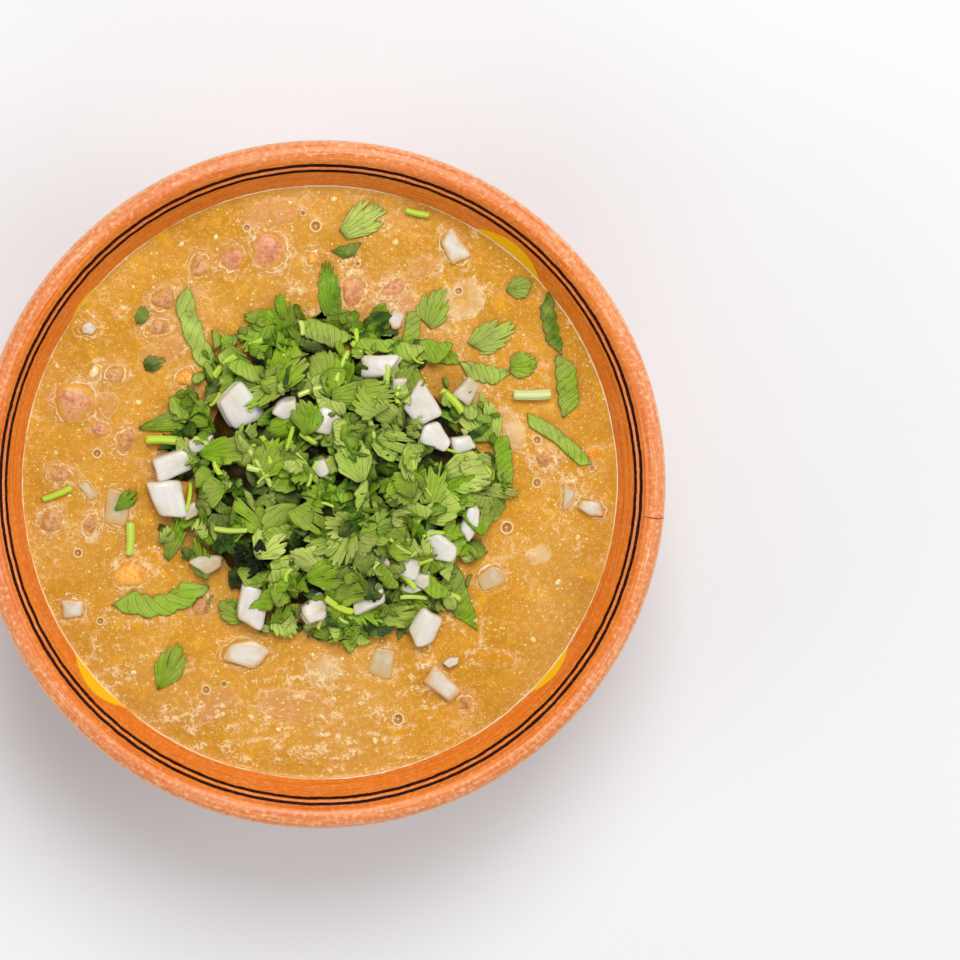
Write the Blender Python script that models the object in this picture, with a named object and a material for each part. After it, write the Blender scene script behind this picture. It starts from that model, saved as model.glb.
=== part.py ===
"""Bowl of bean and meat soup, topped with a heap of chopped cilantro and onion.

The bowl is turned terracotta with a rounded lip and a foot ring.  The soup is one solid up to its
level, cut round the pieces that lie half sunk in it.  The heap is one solid: a low core with leaf
plates, onion dice and stems joined on.  Units are millimetres in the constants and metres in the
scene.  The origin is under the middle of the foot and +Z is up.
"""
import math
import random
from collections import namedtuple

import bmesh
import bpy
from mathutils import Matrix, Vector, geometry, noise

MM = 0.001

# Bowl
RIM_RADIUS = 95.0
BOWL_HEIGHT = 70.0
LIP_ROUND = 3.4
LIP_INNER_RADIUS = 88.4
FOOT_RADIUS = 44.0
FOOT_WIDTH = 7.0
FOOT_HEIGHT = 4.0
FOOT_CHAMFER = 0.6
FLOOR_THICKNESS = 6.0
FLAT_FLOOR_RADIUS = 30.0
BOWL_SIDES = 52
WALL_STEPS = 5
LIP_STEPS = 4
LIP_TURN = 132.0
LIP_INNER_DROP = 1.9
# Handles of the curves that shape the wall, as radius and height
INNER_HANDLES = ((62.0, 10.0), (74.0, 40.0))
OUTER_HANDLES = ((90.0, 42.0), (80.0, 12.0))

# Soup
SOUP_LEVEL = 58.0
GAP = 0.3
SOUP_CELL = 7.5
RELIEF_HEIGHT = 0.22
RELIEF_LENGTH = 11.0
BUMP_SIDES = 5
LUMP_SIDES = 9
LUMP_RINGS = 4
# How far below its level the soup's body follows the bowl, step by step
SOUP_DEPTHS = (8.0, 20.0, 32.0, 42.0)
# How deep each kind of piece reaches below the soup's level
SUNK_DEPTH = {"onion": 3.0, "bean": 3.6, "meat": 4.2, "squash": 3.6, "kernel": 2.4}
# What lies across a sunk piece starts to rise this far before it
RESTING_MARGIN = 1.6

# Heap of chopped cilantro and onion
HEAP_X = 4.0
HEAP_Y = 1.5
HEAP_HEIGHT = 11.0
HEAP_REACH = {0: 43, 45: 41, 90: 42, 125: 46, 155: 45, 185: 43, 212: 46, 240: 43, 270: 43, 300: 43, 330: 42}
HEAP_SIDES = 30
HEAP_RINGS = 5
# Leaves further than this from the heap's middle lie flat
HEAP_CALM_RADIUS = 40.0
LEAF_SINK = 0.8
LEAF_THICKNESS = 0.6
LONG_LEAF = 12.0
STEM_SIDES = 6

SEED = 11

# Colours are linear RGB
TERRACOTTA = (0.62, 0.17, 0.035)
SOUP = (0.52, 0.26, 0.05)
CILANTRO = (0.16, 0.32, 0.03)
STEM = (0.35, 0.50, 0.05)
ONION = (0.85, 0.82, 0.74)
BEAN = (0.46, 0.20, 0.11)
MEAT = (0.52, 0.20, 0.12)
SQUASH = (0.85, 0.36, 0.04)
KERNEL = (0.85, 0.72, 0.30)

# A piece half sunk in the soup: its middle, size from above, how far it stands out and turn in degrees
Sunk = namedtuple("Sunk", "x y length width rise turn")

ONIONS = [
    Sunk(36.8, 65.6, 9.2, 6.2, 1.6, -60),
    Sunk(-64.0, 43.5, 4.2, 3.9, 1.0, 10),
    Sunk(-64.4, -1.6, 6.0, 3.0, 0.8, -60),
    Sunk(-56.8, -6.5, 9.8, 7.0, 1.0, 80),
    Sunk(-69.0, -34.5, 5.6, 5.3, 1.2, 5),
    Sunk(-21.0, -47.0, 12.0, 7.8, 1.8, -5),
    Sunk(33.0, -56.0, 10.8, 5.8, 2.4, -45),
    Sunk(75.0, -7.0, 8.1, 4.8, 1.8, -20),
    Sunk(68.8, -4.0, 7.6, 3.6, 0.8, 80),
    Sunk(16.5, -50.0, 8.0, 7.0, 0.9, 80),
    Sunk(47.5, -26.5, 7.6, 6.2, 0.8, 30),
    Sunk(20.5, 46.0, 5.3, 4.6, 1.6, 60),
]
BEANS = [
    Sunk(-33.5, 60.5, 7.0, 5.9, 1.0, 70),
    Sunk(-43.5, 51.5, 7.3, 5.6, 1.1, 35),
    Sunk(-44.8, 43.5, 7.0, 5.0, 0.9, 10),
    Sunk(-57.0, 30.8, 5.8, 5.2, 0.9, 10),
    Sunk(-54.0, 12.5, 6.8, 6.2, 1.1, 80),
    Sunk(-72.5, 3.5, 7.0, 4.8, 0.9, -5),
    Sunk(-75.0, -9.5, 8.0, 6.2, 1.0, 60),
    Sunk(-63.8, -11.0, 6.0, 4.4, 0.9, 70),
    Sunk(-34.0, -33.5, 6.6, 6.0, 1.2, 70),
    Sunk(62.0, 6.5, 5.4, 5.0, 0.9, 0),
    Sunk(39.5, -62.0, 5.3, 4.8, 0.9, 0),
]
MEATS = [
    Sunk(-14.5, 65.0, 12.0, 10.2, 1.2, -60),
    Sunk(-24.5, 62.5, 8.2, 6.0, 0.9, 70),
    Sunk(-68.0, 23.4, 12.3, 10.6, 1.8, 20),
    Sunk(-61.0, 16.0, 5.6, 4.4, 1.3, -40),
    Sunk(8.4, 53.5, 9.5, 7.6, 1.0, 80),
    Sunk(20.0, 54.4, 8.0, 5.4, 0.8, 30),
]
SQUASHES = [
    Sunk(-53.0, -25.0, 11.0, 7.4, 1.2, 15),
    Sunk(-37.5, 29.6, 6.2, 5.0, 1.2, 40),
    Sunk(-2.5, 62.5, 4.2, 3.1, 1.0, 60),
]
KERNELS = [
    Sunk(-62.6, 31.6, 4.4, 3.4, 1.0, 70),
]

# A leaf or shred: its middle, length, width, turn and bend in degrees and kind of outline
Leaf = namedtuple("Leaf", "x y length width turn bend kind")

LOOSE_LEAVES = [
    Leaf(-35.0, 42.5, 23.0, 5.8, -70, 24, "strip"),
    Leaf(11.5, 73.2, 14.0, 9.5, 35, 0, "blade"),
    Leaf(7.2, 64.6, 6.4, 3.6, 15, 0, "strip"),
    Leaf(2.0, 54.5, 15.5, 6.4, 95, 10, "fan"),
    Leaf(55.0, 54.5, 7.6, 6.4, 10, 0, "fan"),
    Leaf(47.5, 41.0, 14.4, 8.6, 28, 0, "fan"),
    Leaf(45.0, 30.6, 11.5, 5.4, -12, 0, "strip"),
    Leaf(56.0, 33.0, 8.2, 7.6, 10, 0, "fan"),
    Leaf(63.6, 44.4, 15.0, 4.6, -78, 8, "strip"),
    Leaf(68.4, 27.2, 15.0, 6.2, -84, 0, "strip"),
    Leaf(66.0, 12.0, 21.0, 3.8, -38, -26, "strip"),
    Leaf(-54.2, -4.0, 8.0, 4.6, 42, 0, "blade"),
    Leaf(-42.5, -50.5, 14.0, 8.0, 62, 0, "fan"),
    Leaf(31.0, 49.0, 12.0, 9.0, 70, 0, "fan"),
    Leaf(-44.6, -31.8, 23.0, 6.4, 10, 88, "strip"),
    Leaf(-46.0, 34.0, 6.2, 4.6, 20, 0, "fan"),
]

# A cut stem lying on the soup: its middle, length, thickness and turn in degrees
Stem = namedtuple("Stem", "x y length thickness turn")

LOOSE_STEMS = [
    Stem(26.5, 75.0, 6.7, 1.7, -12),
    Stem(-73.0, -2.2, 8.6, 1.7, 22),
    Stem(-53.0, -14.6, 9.0, 2.2, 88),
    Stem(58.4, 24.6, 10.4, 2.8, 1),
]

HEAP_LEAVES = [
    Leaf(12.0, 25.0, 19.6, 9.2, 3, -14, "blade"),
    Leaf(44.0, 17.0, 15.5, 12.5, 118, 0, "fan"),
    Leaf(9.5, -40.5, 17.9, 8.0, -170, 0, "fan"),
    Leaf(-11.0, -37.5, 10.5, 7.6, 60, 30, "blade"),
    Leaf(38.0, -32.0, 15.5, 6.2, -72, 0, "strip"),
    Leaf(49.0, -2.0, 12.5, 4.8, -6, 0, "blade"),
    Leaf(46.5, -7.5, 10.0, 7.0, 200, 0, "fan"),
    Leaf(50.5, 6.5, 13.0, 5.0, -84, 0, "strip"),
    Leaf(-16.5, 45.6, 10.5, 7.3, 160, 0, "fan"),
    Leaf(-10.5, 46.0, 14.5, 6.7, 100, 0, "fan"),
    Leaf(0.5, 42.0, 13.0, 6.4, -22, 0, "strip"),
    Leaf(26.0, 37.4, 19.0, 7.0, -8, 10, "strip"),
    Leaf(-43.0, 17.5, 15.5, 6.5, 12, 20, "blade"),
    Leaf(-35.0, 20.5, 11.5, 8.0, 150, 0, "fan"),
    Leaf(-10.0, 33.0, 15.0, 12.0, 60, 0, "fan"),
    Leaf(1.0, 31.0, 13.0, 10.0, 110, 0, "fan"),
    Leaf(-14.0, -29.0, 15.0, 5.5, 55, 40, "strip"),
    Leaf(-25.0, -35.0, 9.5, 7.0, 150, 0, "fan"),
    Leaf(25.0, -33.0, 15.0, 9.0, -35, 0, "fan"),
    Leaf(37.0, -15.0, 13.0, 5.0, -60, 40, "strip"),
    Leaf(-41.0, -15.0, 13.0, 5.5, 70, 0, "blade"),
    Leaf(-34.0, -20.0, 13.0, 6.5, 100, 0, "blade"),
    Leaf(20.0, 11.0, 14.0, 9.0, -20, 20, "fan"),
    Leaf(8.0, 8.0, 14.0, 10.0, 110, 0, "fan"),
    Leaf(-15.0, 8.0, 13.0, 9.0, 60, 0, "fan"),
    Leaf(-3.0, -8.0, 14.0, 9.0, -30, 0, "fan"),
    Leaf(15.0, -12.0, 13.0, 9.0, 20, 0, "fan"),
    Leaf(-20.0, -8.0, 13.0, 8.0, 140, 0, "fan"),
    Leaf(30.0, 1.0, 13.0, 9.0, 80, 0, "fan"),
    Leaf(2.0, -24.0, 14.0, 9.0, 10, 0, "fan"),
    Leaf(-28.0, 10.0, 13.0, 8.0, 10, 0, "fan"),
]
SCATTERED_LEAVES = 4

# An onion die of the heap: its middle, length, width, height and turn in degrees
Die = namedtuple("Die", "x y length width height turn")

HEAP_ONIONS = [
    Die(-24.0, 21.0, 12.0, 10.0, 6.0, -60),
    Die(-10.5, 22.0, 7.0, 5.5, 5.0, 10),
    Die(0.0, 18.0, 8.0, 7.0, 5.0, 70),
    Die(-0.5, 5.5, 6.5, 6.0, 5.0, 20),
    Die(15.0, 32.0, 9.8, 7.0, 5.0, -10),
    Die(27.0, 23.5, 10.0, 8.5, 5.5, -50),
    Die(31.0, 12.5, 9.0, 7.5, 5.5, -40),
    Die(40.0, 9.0, 6.5, 5.0, 4.5, 10),
    Die(-33.5, 11.0, 7.0, 5.0, 4.5, 5),
    Die(-42.0, 5.0, 11.0, 6.5, 4.5, 30),
    Die(-43.0, -4.5, 12.5, 7.5, 5.0, -70),
    Die(41.0, -12.0, 11.2, 4.5, 4.5, 75),
    Die(30.0, -16.0, 13.0, 8.0, 5.5, -30),
    Die(22.5, -23.5, 7.0, 6.0, 5.5, 80),
    Die(13.5, -32.0, 9.0, 7.0, 5.0, 30),
    Die(-2.5, -34.5, 8.4, 7.0, 5.0, 60),
    Die(-21.0, -31.0, 11.5, 8.0, 5.0, 75),
    Die(29.0, -41.0, 10.0, 7.5, 4.0, 65),
]

HEAP_STEMS = [
    Stem(-27.0, 33.5, 8.5, 2.2, 42),
    Stem(-43.5, 12.8, 10.0, 2.4, -3),
    Stem(36.0, 23.5, 8.5, 2.2, -45),
    Stem(43.0, 5.5, 9.0, 2.0, -28),
    Stem(-17.0, 5.0, 13.0, 1.5, -60),
    Stem(4.0, -33.5, 9.0, 2.0, -30),
    Stem(22.0, -25.0, 10.0, 1.6, -40),
    Stem(35.0, -31.0, 7.0, 1.8, -12),
]

# Small seeds and bubbles on the soup: middle, radius and height of the bump
Bump = namedtuple("Bump", "x y radius height")

SEEDS = [
    Bump(-38.5, 66.5, 1.1, 0.5), Bump(-29.0, 68.5, 1.0, 0.5), Bump(-54.5, 49.0, 1.0, 0.5),
    Bump(-8.5, 78.0, 1.1, 0.5), Bump(3.5, 79.0, 1.0, 0.5), Bump(20.5, 67.0, 1.1, 0.5),
    Bump(-52.5, -52.0, 1.1, 0.5), Bump(-12.5, -68.5, 1.1, 0.5), Bump(14.5, -72.0, 1.0, 0.5),
    Bump(66.0, -28.0, 1.1, 0.5), Bump(71.5, -15.5, 1.0, 0.5), Bump(42.5, -38.5, 1.0, 0.5),
    Bump(-50.5, 23.0, 1.0, 0.5), Bump(59.0, -44.0, 1.0, 0.5), Bump(3.0, -60.0, 1.0, 0.5),
]
BUBBLES = [
    Bump(-1.5, 71.5, 1.5, 0.6), Bump(38.0, 53.5, 1.4, 0.6), Bump(-62.0, 9.0, 1.5, 0.6),
    Bump(-67.5, -18.5, 1.6, 0.7), Bump(-61.5, -37.5, 1.2, 0.5), Bump(-32.5, -57.0, 1.3, 0.5),
    Bump(21.0, -66.0, 1.8, 0.8), Bump(60.0, 0.0, 1.5, 0.6),
]


def clear_scene():
    """Removes every object that the scene holds."""
    for existing in list(bpy.data.objects):
        bpy.data.objects.remove(existing, do_unlink=True)


def principled(name, colour, roughness):
    """One Principled material with a plain colour."""
    material = bpy.data.materials.new(name)
    material.use_nodes = True
    shader = material.node_tree.nodes["Principled BSDF"]
    shader.inputs["Base Color"].default_value = (*colour, 1.0)
    shader.inputs["Roughness"].default_value = roughness
    return material


def solid(name, points, faces, material, smooth_angle=40.0):
    """An object from points in millimetres and faces, all normals pointing out."""
    shape = bmesh.new()
    corners = [shape.verts.new(Vector(point) * MM) for point in points]
    for face in faces:
        shape.faces.new([corners[index] for index in face])
    bmesh.ops.triangulate(shape, faces=shape.faces[:])
    bmesh.ops.recalc_face_normals(shape, faces=shape.faces[:])
    mesh = bpy.data.meshes.new(name)
    shape.to_mesh(mesh)
    shape.free()
    mesh.shade_smooth()
    mesh.set_sharp_from_angle(angle=math.radians(smooth_angle))
    mesh.materials.append(material)
    made = bpy.data.objects.new(name, mesh)
    bpy.context.scene.collection.objects.link(made)
    return made


def bezier(start, handle_a, handle_b, end, steps):
    """Points along one cubic curve, both ends included."""
    found = geometry.interpolate_bezier(Vector(start).to_3d(), Vector(handle_a).to_3d(),
                                        Vector(handle_b).to_3d(), Vector(end).to_3d(), steps + 1)
    return [(point.x, point.y) for point in found]


def inner_wall():
    """Radius and height along the inside of the bowl, from the middle of the floor to the lip."""
    floor = FOOT_HEIGHT + FLOOR_THICKNESS
    top = BOWL_HEIGHT - LIP_ROUND
    return bezier((FLAT_FLOOR_RADIUS, floor), *INNER_HANDLES, (LIP_INNER_RADIUS - 2.0, top), WALL_STEPS)


def wall_radius(height):
    """Radius of the inside of the bowl at a height."""
    wall = inner_wall()
    for (r0, z0), (r1, z1) in zip(wall, wall[1:]):
        if z0 <= height <= z1:
            return r0 + (r1 - r0) * (height - z0) / (z1 - z0)
    return wall[0][0]


def bowl_profile():
    """Closed section of the bowl from its axis: floor, inside, lip, outside, foot ring and recess."""
    top = BOWL_HEIGHT - LIP_ROUND
    lip_middle = RIM_RADIUS - LIP_ROUND
    lip = [(lip_middle + LIP_ROUND * math.cos(turn), top + LIP_ROUND * math.sin(turn))
           for turn in (math.radians(LIP_TURN * step / LIP_STEPS) for step in range(LIP_STEPS, -1, -1))]
    outside = bezier((RIM_RADIUS - 0.4, top - 2.0), *OUTER_HANDLES, (FOOT_RADIUS + 3.0, FOOT_HEIGHT + 2.0),
                     WALL_STEPS)
    foot_inside = FOOT_RADIUS - FOOT_WIDTH
    foot = [(FOOT_RADIUS, FOOT_HEIGHT), (FOOT_RADIUS, FOOT_CHAMFER), (FOOT_RADIUS - FOOT_CHAMFER, 0.0),
            (foot_inside + FOOT_CHAMFER, 0.0), (foot_inside, FOOT_CHAMFER),
            (foot_inside - 1.0, FOOT_HEIGHT - FOOT_CHAMFER)]
    return inner_wall() + [(LIP_INNER_RADIUS, BOWL_HEIGHT - LIP_INNER_DROP)] + lip + outside + foot


def ring_points(radius, height):
    """Points round a circle about Z, one for each side of the bowl."""
    turns = [math.tau * side / BOWL_SIDES for side in range(BOWL_SIDES)]
    return [(radius * math.cos(turn), radius * math.sin(turn), height) for turn in turns]


def turned(name, section, floor, ceiling, material):
    """Turns a section about Z and closes it on the axis at two heights."""
    points = [point for radius, height in section for point in ring_points(radius, height)]
    faces = []
    for ring in range(len(section) - 1):
        first, second = ring * BOWL_SIDES, (ring + 1) * BOWL_SIDES
        for side in range(BOWL_SIDES):
            after = (side + 1) % BOWL_SIDES
            faces.append((first + side, first + after, second + after, second + side))
    last = (len(section) - 1) * BOWL_SIDES
    points.append((0.0, 0.0, floor))
    points.append((0.0, 0.0, ceiling))
    for side in range(BOWL_SIDES):
        after = (side + 1) % BOWL_SIDES
        faces.append((side, after, len(points) - 2))
        faces.append((last + side, last + after, len(points) - 1))
    return solid(name, points, faces, material)


def relief(x, y):
    """Slow rise and fall of the soup's surface above its level."""
    return RELIEF_HEIGHT * noise.noise(Vector((x / RELIEF_LENGTH, y / RELIEF_LENGTH, 0.5)))


def bump_height(x, y):
    """Height that a seed or a bubble adds to the soup at a point."""
    for bump in SEEDS + BUBBLES:
        distance = math.hypot(x - bump.x, y - bump.y) / bump.radius
        if distance < 1.0:
            return bump.height * math.sqrt(1.0 - distance ** 2)
    return 0.0


def soup_height(x, y):
    """Height of the soup's own surface at a point."""
    return SOUP_LEVEL + relief(x, y) + bump_height(x, y)


def sunk_pieces():
    """Every half sunk piece with its kind."""
    kinds = {"onion": ONIONS, "bean": BEANS, "meat": MEATS, "squash": SQUASHES, "kernel": KERNELS}
    return [(kind, piece) for kind, pieces in kinds.items() for piece in pieces]


def resting_height(x, y):
    """Height at which something lying on the soup or on the sunk pieces touches at a point."""
    height = soup_height(x, y)
    for _, piece in sunk_pieces():
        turn = math.radians(-piece.turn)
        along = (x - piece.x) * math.cos(turn) - (y - piece.y) * math.sin(turn)
        across = (x - piece.x) * math.sin(turn) + (y - piece.y) * math.cos(turn)
        long_half = piece.length / 2 + RESTING_MARGIN
        short_half = piece.width / 2 + RESTING_MARGIN
        reach = max(abs(along) / long_half, abs(across) / short_half)
        if reach < 1.0:
            height = max(height, SOUP_LEVEL + (piece.rise + 0.4) * min(1.0, 4.0 * (1.0 - reach)))
    return height + GAP


def surface_points(edge):
    """Points of the soup's surface: its edge ring, a staggered grid and rings round the bumps."""
    points = [(x, y) for x, y, _ in ring_points(edge, SOUP_LEVEL)]
    bumps = SEEDS + BUBBLES
    for bump in bumps:
        points.append((bump.x, bump.y))
        for share in (1.0, 0.6):
            for side in range(BUMP_SIDES):
                turn = math.tau * (side + share) / BUMP_SIDES
                points.append((bump.x + share * bump.radius * math.cos(turn),
                               bump.y + share * bump.radius * math.sin(turn)))
    row_step = SOUP_CELL * math.sqrt(3.0) / 2
    rows = int(edge / row_step) + 1
    for row in range(-rows, rows + 1):
        y = row * row_step
        for column in range(-rows, rows + 1):
            x = (column + 0.5 * (row % 2)) * SOUP_CELL
            clear = all(math.hypot(x - bump.x, y - bump.y) > bump.radius + 1.2 for bump in bumps)
            if clear and math.hypot(x, y) < edge - SOUP_CELL * 0.6:
                points.append((x, y))
    return points


def soup_body(material):
    """The soup: a surface with slow relief, seeds and bubbles over a body that follows the bowl."""
    flat = [Vector(point) for point in surface_points(wall_radius(SOUP_LEVEL) - GAP)]
    corners, _, faces, origins, _, _ = geometry.delaunay_2d_cdt(flat, [], [], 0, 1e-6)
    points = [(corner.x, corner.y, soup_height(corner.x, corner.y)) for corner in corners]
    place = {origin: index for index, group in enumerate(origins) for origin in group}
    rims = [[place[side] for side in range(BOWL_SIDES)]]
    faces = [tuple(face) for face in faces]
    for depth in SOUP_DEPTHS:
        level = SOUP_LEVEL - depth
        rims.append([len(points) + side for side in range(BOWL_SIDES)])
        points += ring_points(wall_radius(level) - GAP * 1.6, level)
    points.append((0.0, 0.0, FOOT_HEIGHT + FLOOR_THICKNESS + 2.0))
    lowest = len(points) - 1
    for side in range(BOWL_SIDES):
        after = (side + 1) % BOWL_SIDES
        for upper, lower in zip(rims, rims[1:]):
            faces.append((upper[side], upper[after], lower[after], lower[side]))
        faces.append((rims[-1][side], rims[-1][after], lowest))
    return solid("soup", points, faces, material)


def lump(piece, depth, grow, seed):
    """A rounded, slightly uneven lump that stands out of the soup by its rise."""
    sides, rings = LUMP_SIDES, LUMP_RINGS
    half = (piece.rise + depth) / 2
    middle = SOUP_LEVEL + piece.rise - half
    turn = Matrix.Rotation(math.radians(piece.turn), 3, "Z")
    points = []
    for ring in range(1, rings):
        tilt = math.pi * ring / rings
        for side in range(sides):
            around = math.tau * side / sides
            uneven = 1.0 + 0.07 * math.sin(2.0 * around + seed) + 0.05 * math.sin(3.0 * around + 2.3 * seed)
            spread = math.sin(tilt) ** 0.8 * uneven
            local = Vector(((piece.length / 2 + grow) * spread * math.cos(around),
                            (piece.width / 2 + grow) * spread * math.sin(around), 0.0))
            height = middle + (half + grow) * math.cos(tilt)
            points.append(turn @ local + Vector((piece.x, piece.y, height)))
    points.append((piece.x, piece.y, middle + half + grow))
    points.append((piece.x, piece.y, middle - half - grow))
    faces = []
    for ring in range(rings - 2):
        for side in range(sides):
            after = (side + 1) % sides
            faces.append((ring * sides + side, (ring + 1) * sides + side,
                          (ring + 1) * sides + after, ring * sides + after))
    last = (rings - 2) * sides
    for side in range(sides):
        after = (side + 1) % sides
        faces.append((side, after, len(points) - 2))
        faces.append((last + after, last + side, len(points) - 1))
    return points, faces


def die(size, middle, tilt, lean, uneven, cut, grow=0.0):
    """A chopped die: a box with cut edges, its ends askew, turned and tilted."""
    random_side = random.Random(uneven)
    shape = bmesh.new()
    bmesh.ops.create_cube(shape, size=1.0)
    for corner in shape.verts:
        corner.co.x *= size.length * (1.0 + 0.14 * random_side.uniform(-1, 1)) + 2 * grow
        corner.co.y *= size.width * (1.0 + 0.14 * random_side.uniform(-1, 1)) + 2 * grow
        corner.co.z *= size.height + 2 * grow
    if cut:
        bmesh.ops.bevel(shape, geom=shape.edges[:], offset=cut * size.height, segments=1, profile=0.5,
                        affect="EDGES")
    pose = (Matrix.Rotation(math.radians(size.turn), 4, "Z") @ Matrix.Rotation(math.radians(tilt), 4, "X")
            @ Matrix.Rotation(math.radians(lean), 4, "Y"))
    points = [pose @ corner.co + Vector((size.x, size.y, middle)) for corner in shape.verts]
    shape.verts.index_update()
    faces = [tuple(corner.index for corner in face.verts) for face in shape.faces]
    shape.free()
    return points, faces


def sunk_shape(kind, piece, number, grow=0.0):
    """Points and faces of a half sunk piece, or of a copy that is larger all round."""
    if kind == "onion":
        cut = 0.0 if grow else 0.14
        height = piece.rise + SUNK_DEPTH[kind]
        middle = SOUP_LEVEL + piece.rise - height / 2
        size = Die(piece.x, piece.y, piece.length, piece.width, height, piece.turn)
        return die(size, middle, 0.0, 0.0, number, cut, grow)
    return lump(piece, SUNK_DEPTH[kind], grow, number)


def outline_share(kind, along):
    """Half width of a leaf as a share of its full half width, at a share of its length."""
    if kind == "strip":
        return 0.86 + 0.14 * math.sin(19.0 * along)
    if kind == "blade":
        return max(0.12, math.sin(math.pi * along) ** 0.55)
    widening = along ** 0.8
    rounding = 1.0 - 0.45 * max(0.0, along - 0.8) / 0.2
    return max(0.14, widening * rounding) * (0.92 + 0.08 * math.sin(23.0 * along))


def leaf_sheet(leaf, height_at, tilt, phase, wave_height, steps):
    """A leaf or shred as a thin wavy solid, laid over a surface.  Its middle line can bend."""
    lanes = 1 if leaf.kind == "strip" else 2
    heading = math.radians(leaf.turn)
    bend = math.radians(leaf.bend)
    spine = []
    x, y = 0.0, 0.0
    for step in range(steps + 1):
        direction = bend * (step / steps - 0.5)
        spine.append((x, y, direction))
        x += leaf.length / steps * math.cos(direction)
        y += leaf.length / steps * math.sin(direction)
    centre_x = sum(point[0] for point in spine) / len(spine)
    centre_y = sum(point[1] for point in spine) / len(spine)
    top = []
    for step, (sx, sy, direction) in enumerate(spine):
        along = step / steps
        half = leaf.width / 2 * outline_share(leaf.kind, along)
        for lane in range(lanes + 1):
            side = 2.0 * lane / lanes - 1.0
            across = half * side
            local_x = sx - centre_x - across * math.sin(direction)
            local_y = sy - centre_y + across * math.cos(direction)
            world_x = leaf.x + local_x * math.cos(heading) - local_y * math.sin(heading)
            world_y = leaf.y + local_x * math.sin(heading) + local_y * math.cos(heading)
            wave = wave_height * (0.5 + 0.5 * math.sin(5.0 * along + phase) + 0.3 * abs(side))
            height = height_at(world_x, world_y) + wave + tilt * (along - 0.5) * leaf.length
            top.append((world_x, world_y, height))
    return plate(top, steps, lanes)


def plate(under, steps, lanes):
    """Closed thin solid from its lower face's grid of points."""
    count = len(under)
    row = lanes + 1
    points = list(under) + [(x, y, z + LEAF_THICKNESS) for x, y, z in under]
    faces = []
    for step in range(steps):
        for lane in range(lanes):
            a = step * row + lane
            b, c, d = a + 1, a + row + 1, a + row
            faces += [(a, b, c), (a, c, d)]
            faces += [(a + count, c + count, b + count), (a + count, d + count, c + count)]
    rim = [lane for lane in range(row)]
    rim += [step * row + lanes for step in range(1, steps + 1)]
    rim += [steps * row + lane for lane in range(lanes - 1, -1, -1)]
    rim += [step * row for step in range(steps - 1, 0, -1)]
    for first, second in zip(rim, rim[1:] + rim[:1]):
        faces += [(first, first + count, second + count), (first, second + count, second)]
    return points, faces


def raised(points, floor):
    """A plate's points with both faces lifted together wherever the lower one is under a floor."""
    half = len(points) // 2
    lift = [max(0.0, floor - z) for _, _, z in points[:half]] * 2
    return [(x, y, z + extra) for (x, y, z), extra in zip(points, lift)]


def rod(stem, middle_at):
    """A cut stem: a short round rod."""
    sides = STEM_SIDES
    turn = math.radians(stem.turn)
    radius = stem.thickness / 2
    points = []
    for end in (-0.5, 0.5):
        x = stem.x + end * stem.length * math.cos(turn)
        y = stem.y + end * stem.length * math.sin(turn)
        height = middle_at(x, y)
        for side in range(sides):
            around = math.tau * side / sides
            across = radius * math.cos(around)
            points.append((x - across * math.sin(turn), y + across * math.cos(turn),
                           height + radius * math.sin(around)))
    faces = [tuple(range(sides)), tuple(range(2 * sides - 1, sides - 1, -1))]
    faces += [(side, side + sides, (side + 1) % sides + sides, (side + 1) % sides) for side in range(sides)]
    return points, faces


def heap_reach(turn):
    """Radius of the heap's core in a direction, smoothly between the given ones."""
    degrees = math.degrees(turn) % 360.0
    stops = sorted(HEAP_REACH) + [360 + min(HEAP_REACH)]
    for first, second in zip(stops, stops[1:]):
        if first <= degrees <= second:
            share = (degrees - first) / (second - first)
            share = share * share * (3.0 - 2.0 * share)
            return HEAP_REACH[first] * (1.0 - share) + HEAP_REACH[second % 360] * share
    return HEAP_REACH[0]


def heap_base():
    """Height of the flat underside of the heap, just clear of the soup."""
    return SOUP_LEVEL + RELIEF_HEIGHT + GAP


def heap_height(x, y):
    """Height of the core's surface at a point, and of the soup's outside it."""
    dx, dy = x - HEAP_X, y - HEAP_Y
    share = math.hypot(dx, dy) / heap_reach(math.atan2(dy, dx))
    if share >= 1.0:
        return heap_base()
    rough = 0.8 * noise.noise(Vector((x / 7.0, y / 7.0, 3.0)))
    dome = HEAP_HEIGHT * (1.0 - share ** 2) ** 0.75
    return heap_base() + dome + rough * min(1.0, 3.0 * (1.0 - share))


def heap_core(material):
    """The core: a low uneven dome with a flat underside."""
    points = [(HEAP_X, HEAP_Y, heap_height(HEAP_X, HEAP_Y))]
    for ring in range(1, HEAP_RINGS + 1):
        share = (ring / HEAP_RINGS) ** 0.8
        for side in range(HEAP_SIDES):
            turn = math.tau * side / HEAP_SIDES
            reach = heap_reach(turn) * min(share, 0.995)
            x = HEAP_X + reach * math.cos(turn)
            y = HEAP_Y + reach * math.sin(turn)
            points.append((x, y, heap_height(x, y)))
    under = len(points)
    for side in range(HEAP_SIDES):
        turn = math.tau * side / HEAP_SIDES
        reach = heap_reach(turn) * 0.99
        points.append((HEAP_X + reach * math.cos(turn), HEAP_Y + reach * math.sin(turn), heap_base()))
    points.append((HEAP_X, HEAP_Y, heap_base()))
    faces = []
    for side in range(HEAP_SIDES):
        after = (side + 1) % HEAP_SIDES
        faces.append((0, 1 + side, 1 + after))
        for ring in range(HEAP_RINGS):
            upper, lower = 1 + ring * HEAP_SIDES, 1 + (ring + 1) * HEAP_SIDES
            faces.append((upper + side, lower + side, lower + after, upper + after))
        faces.append((under + after, under + side, len(points) - 1))
    return solid("heap_core", points, faces, material)


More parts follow.
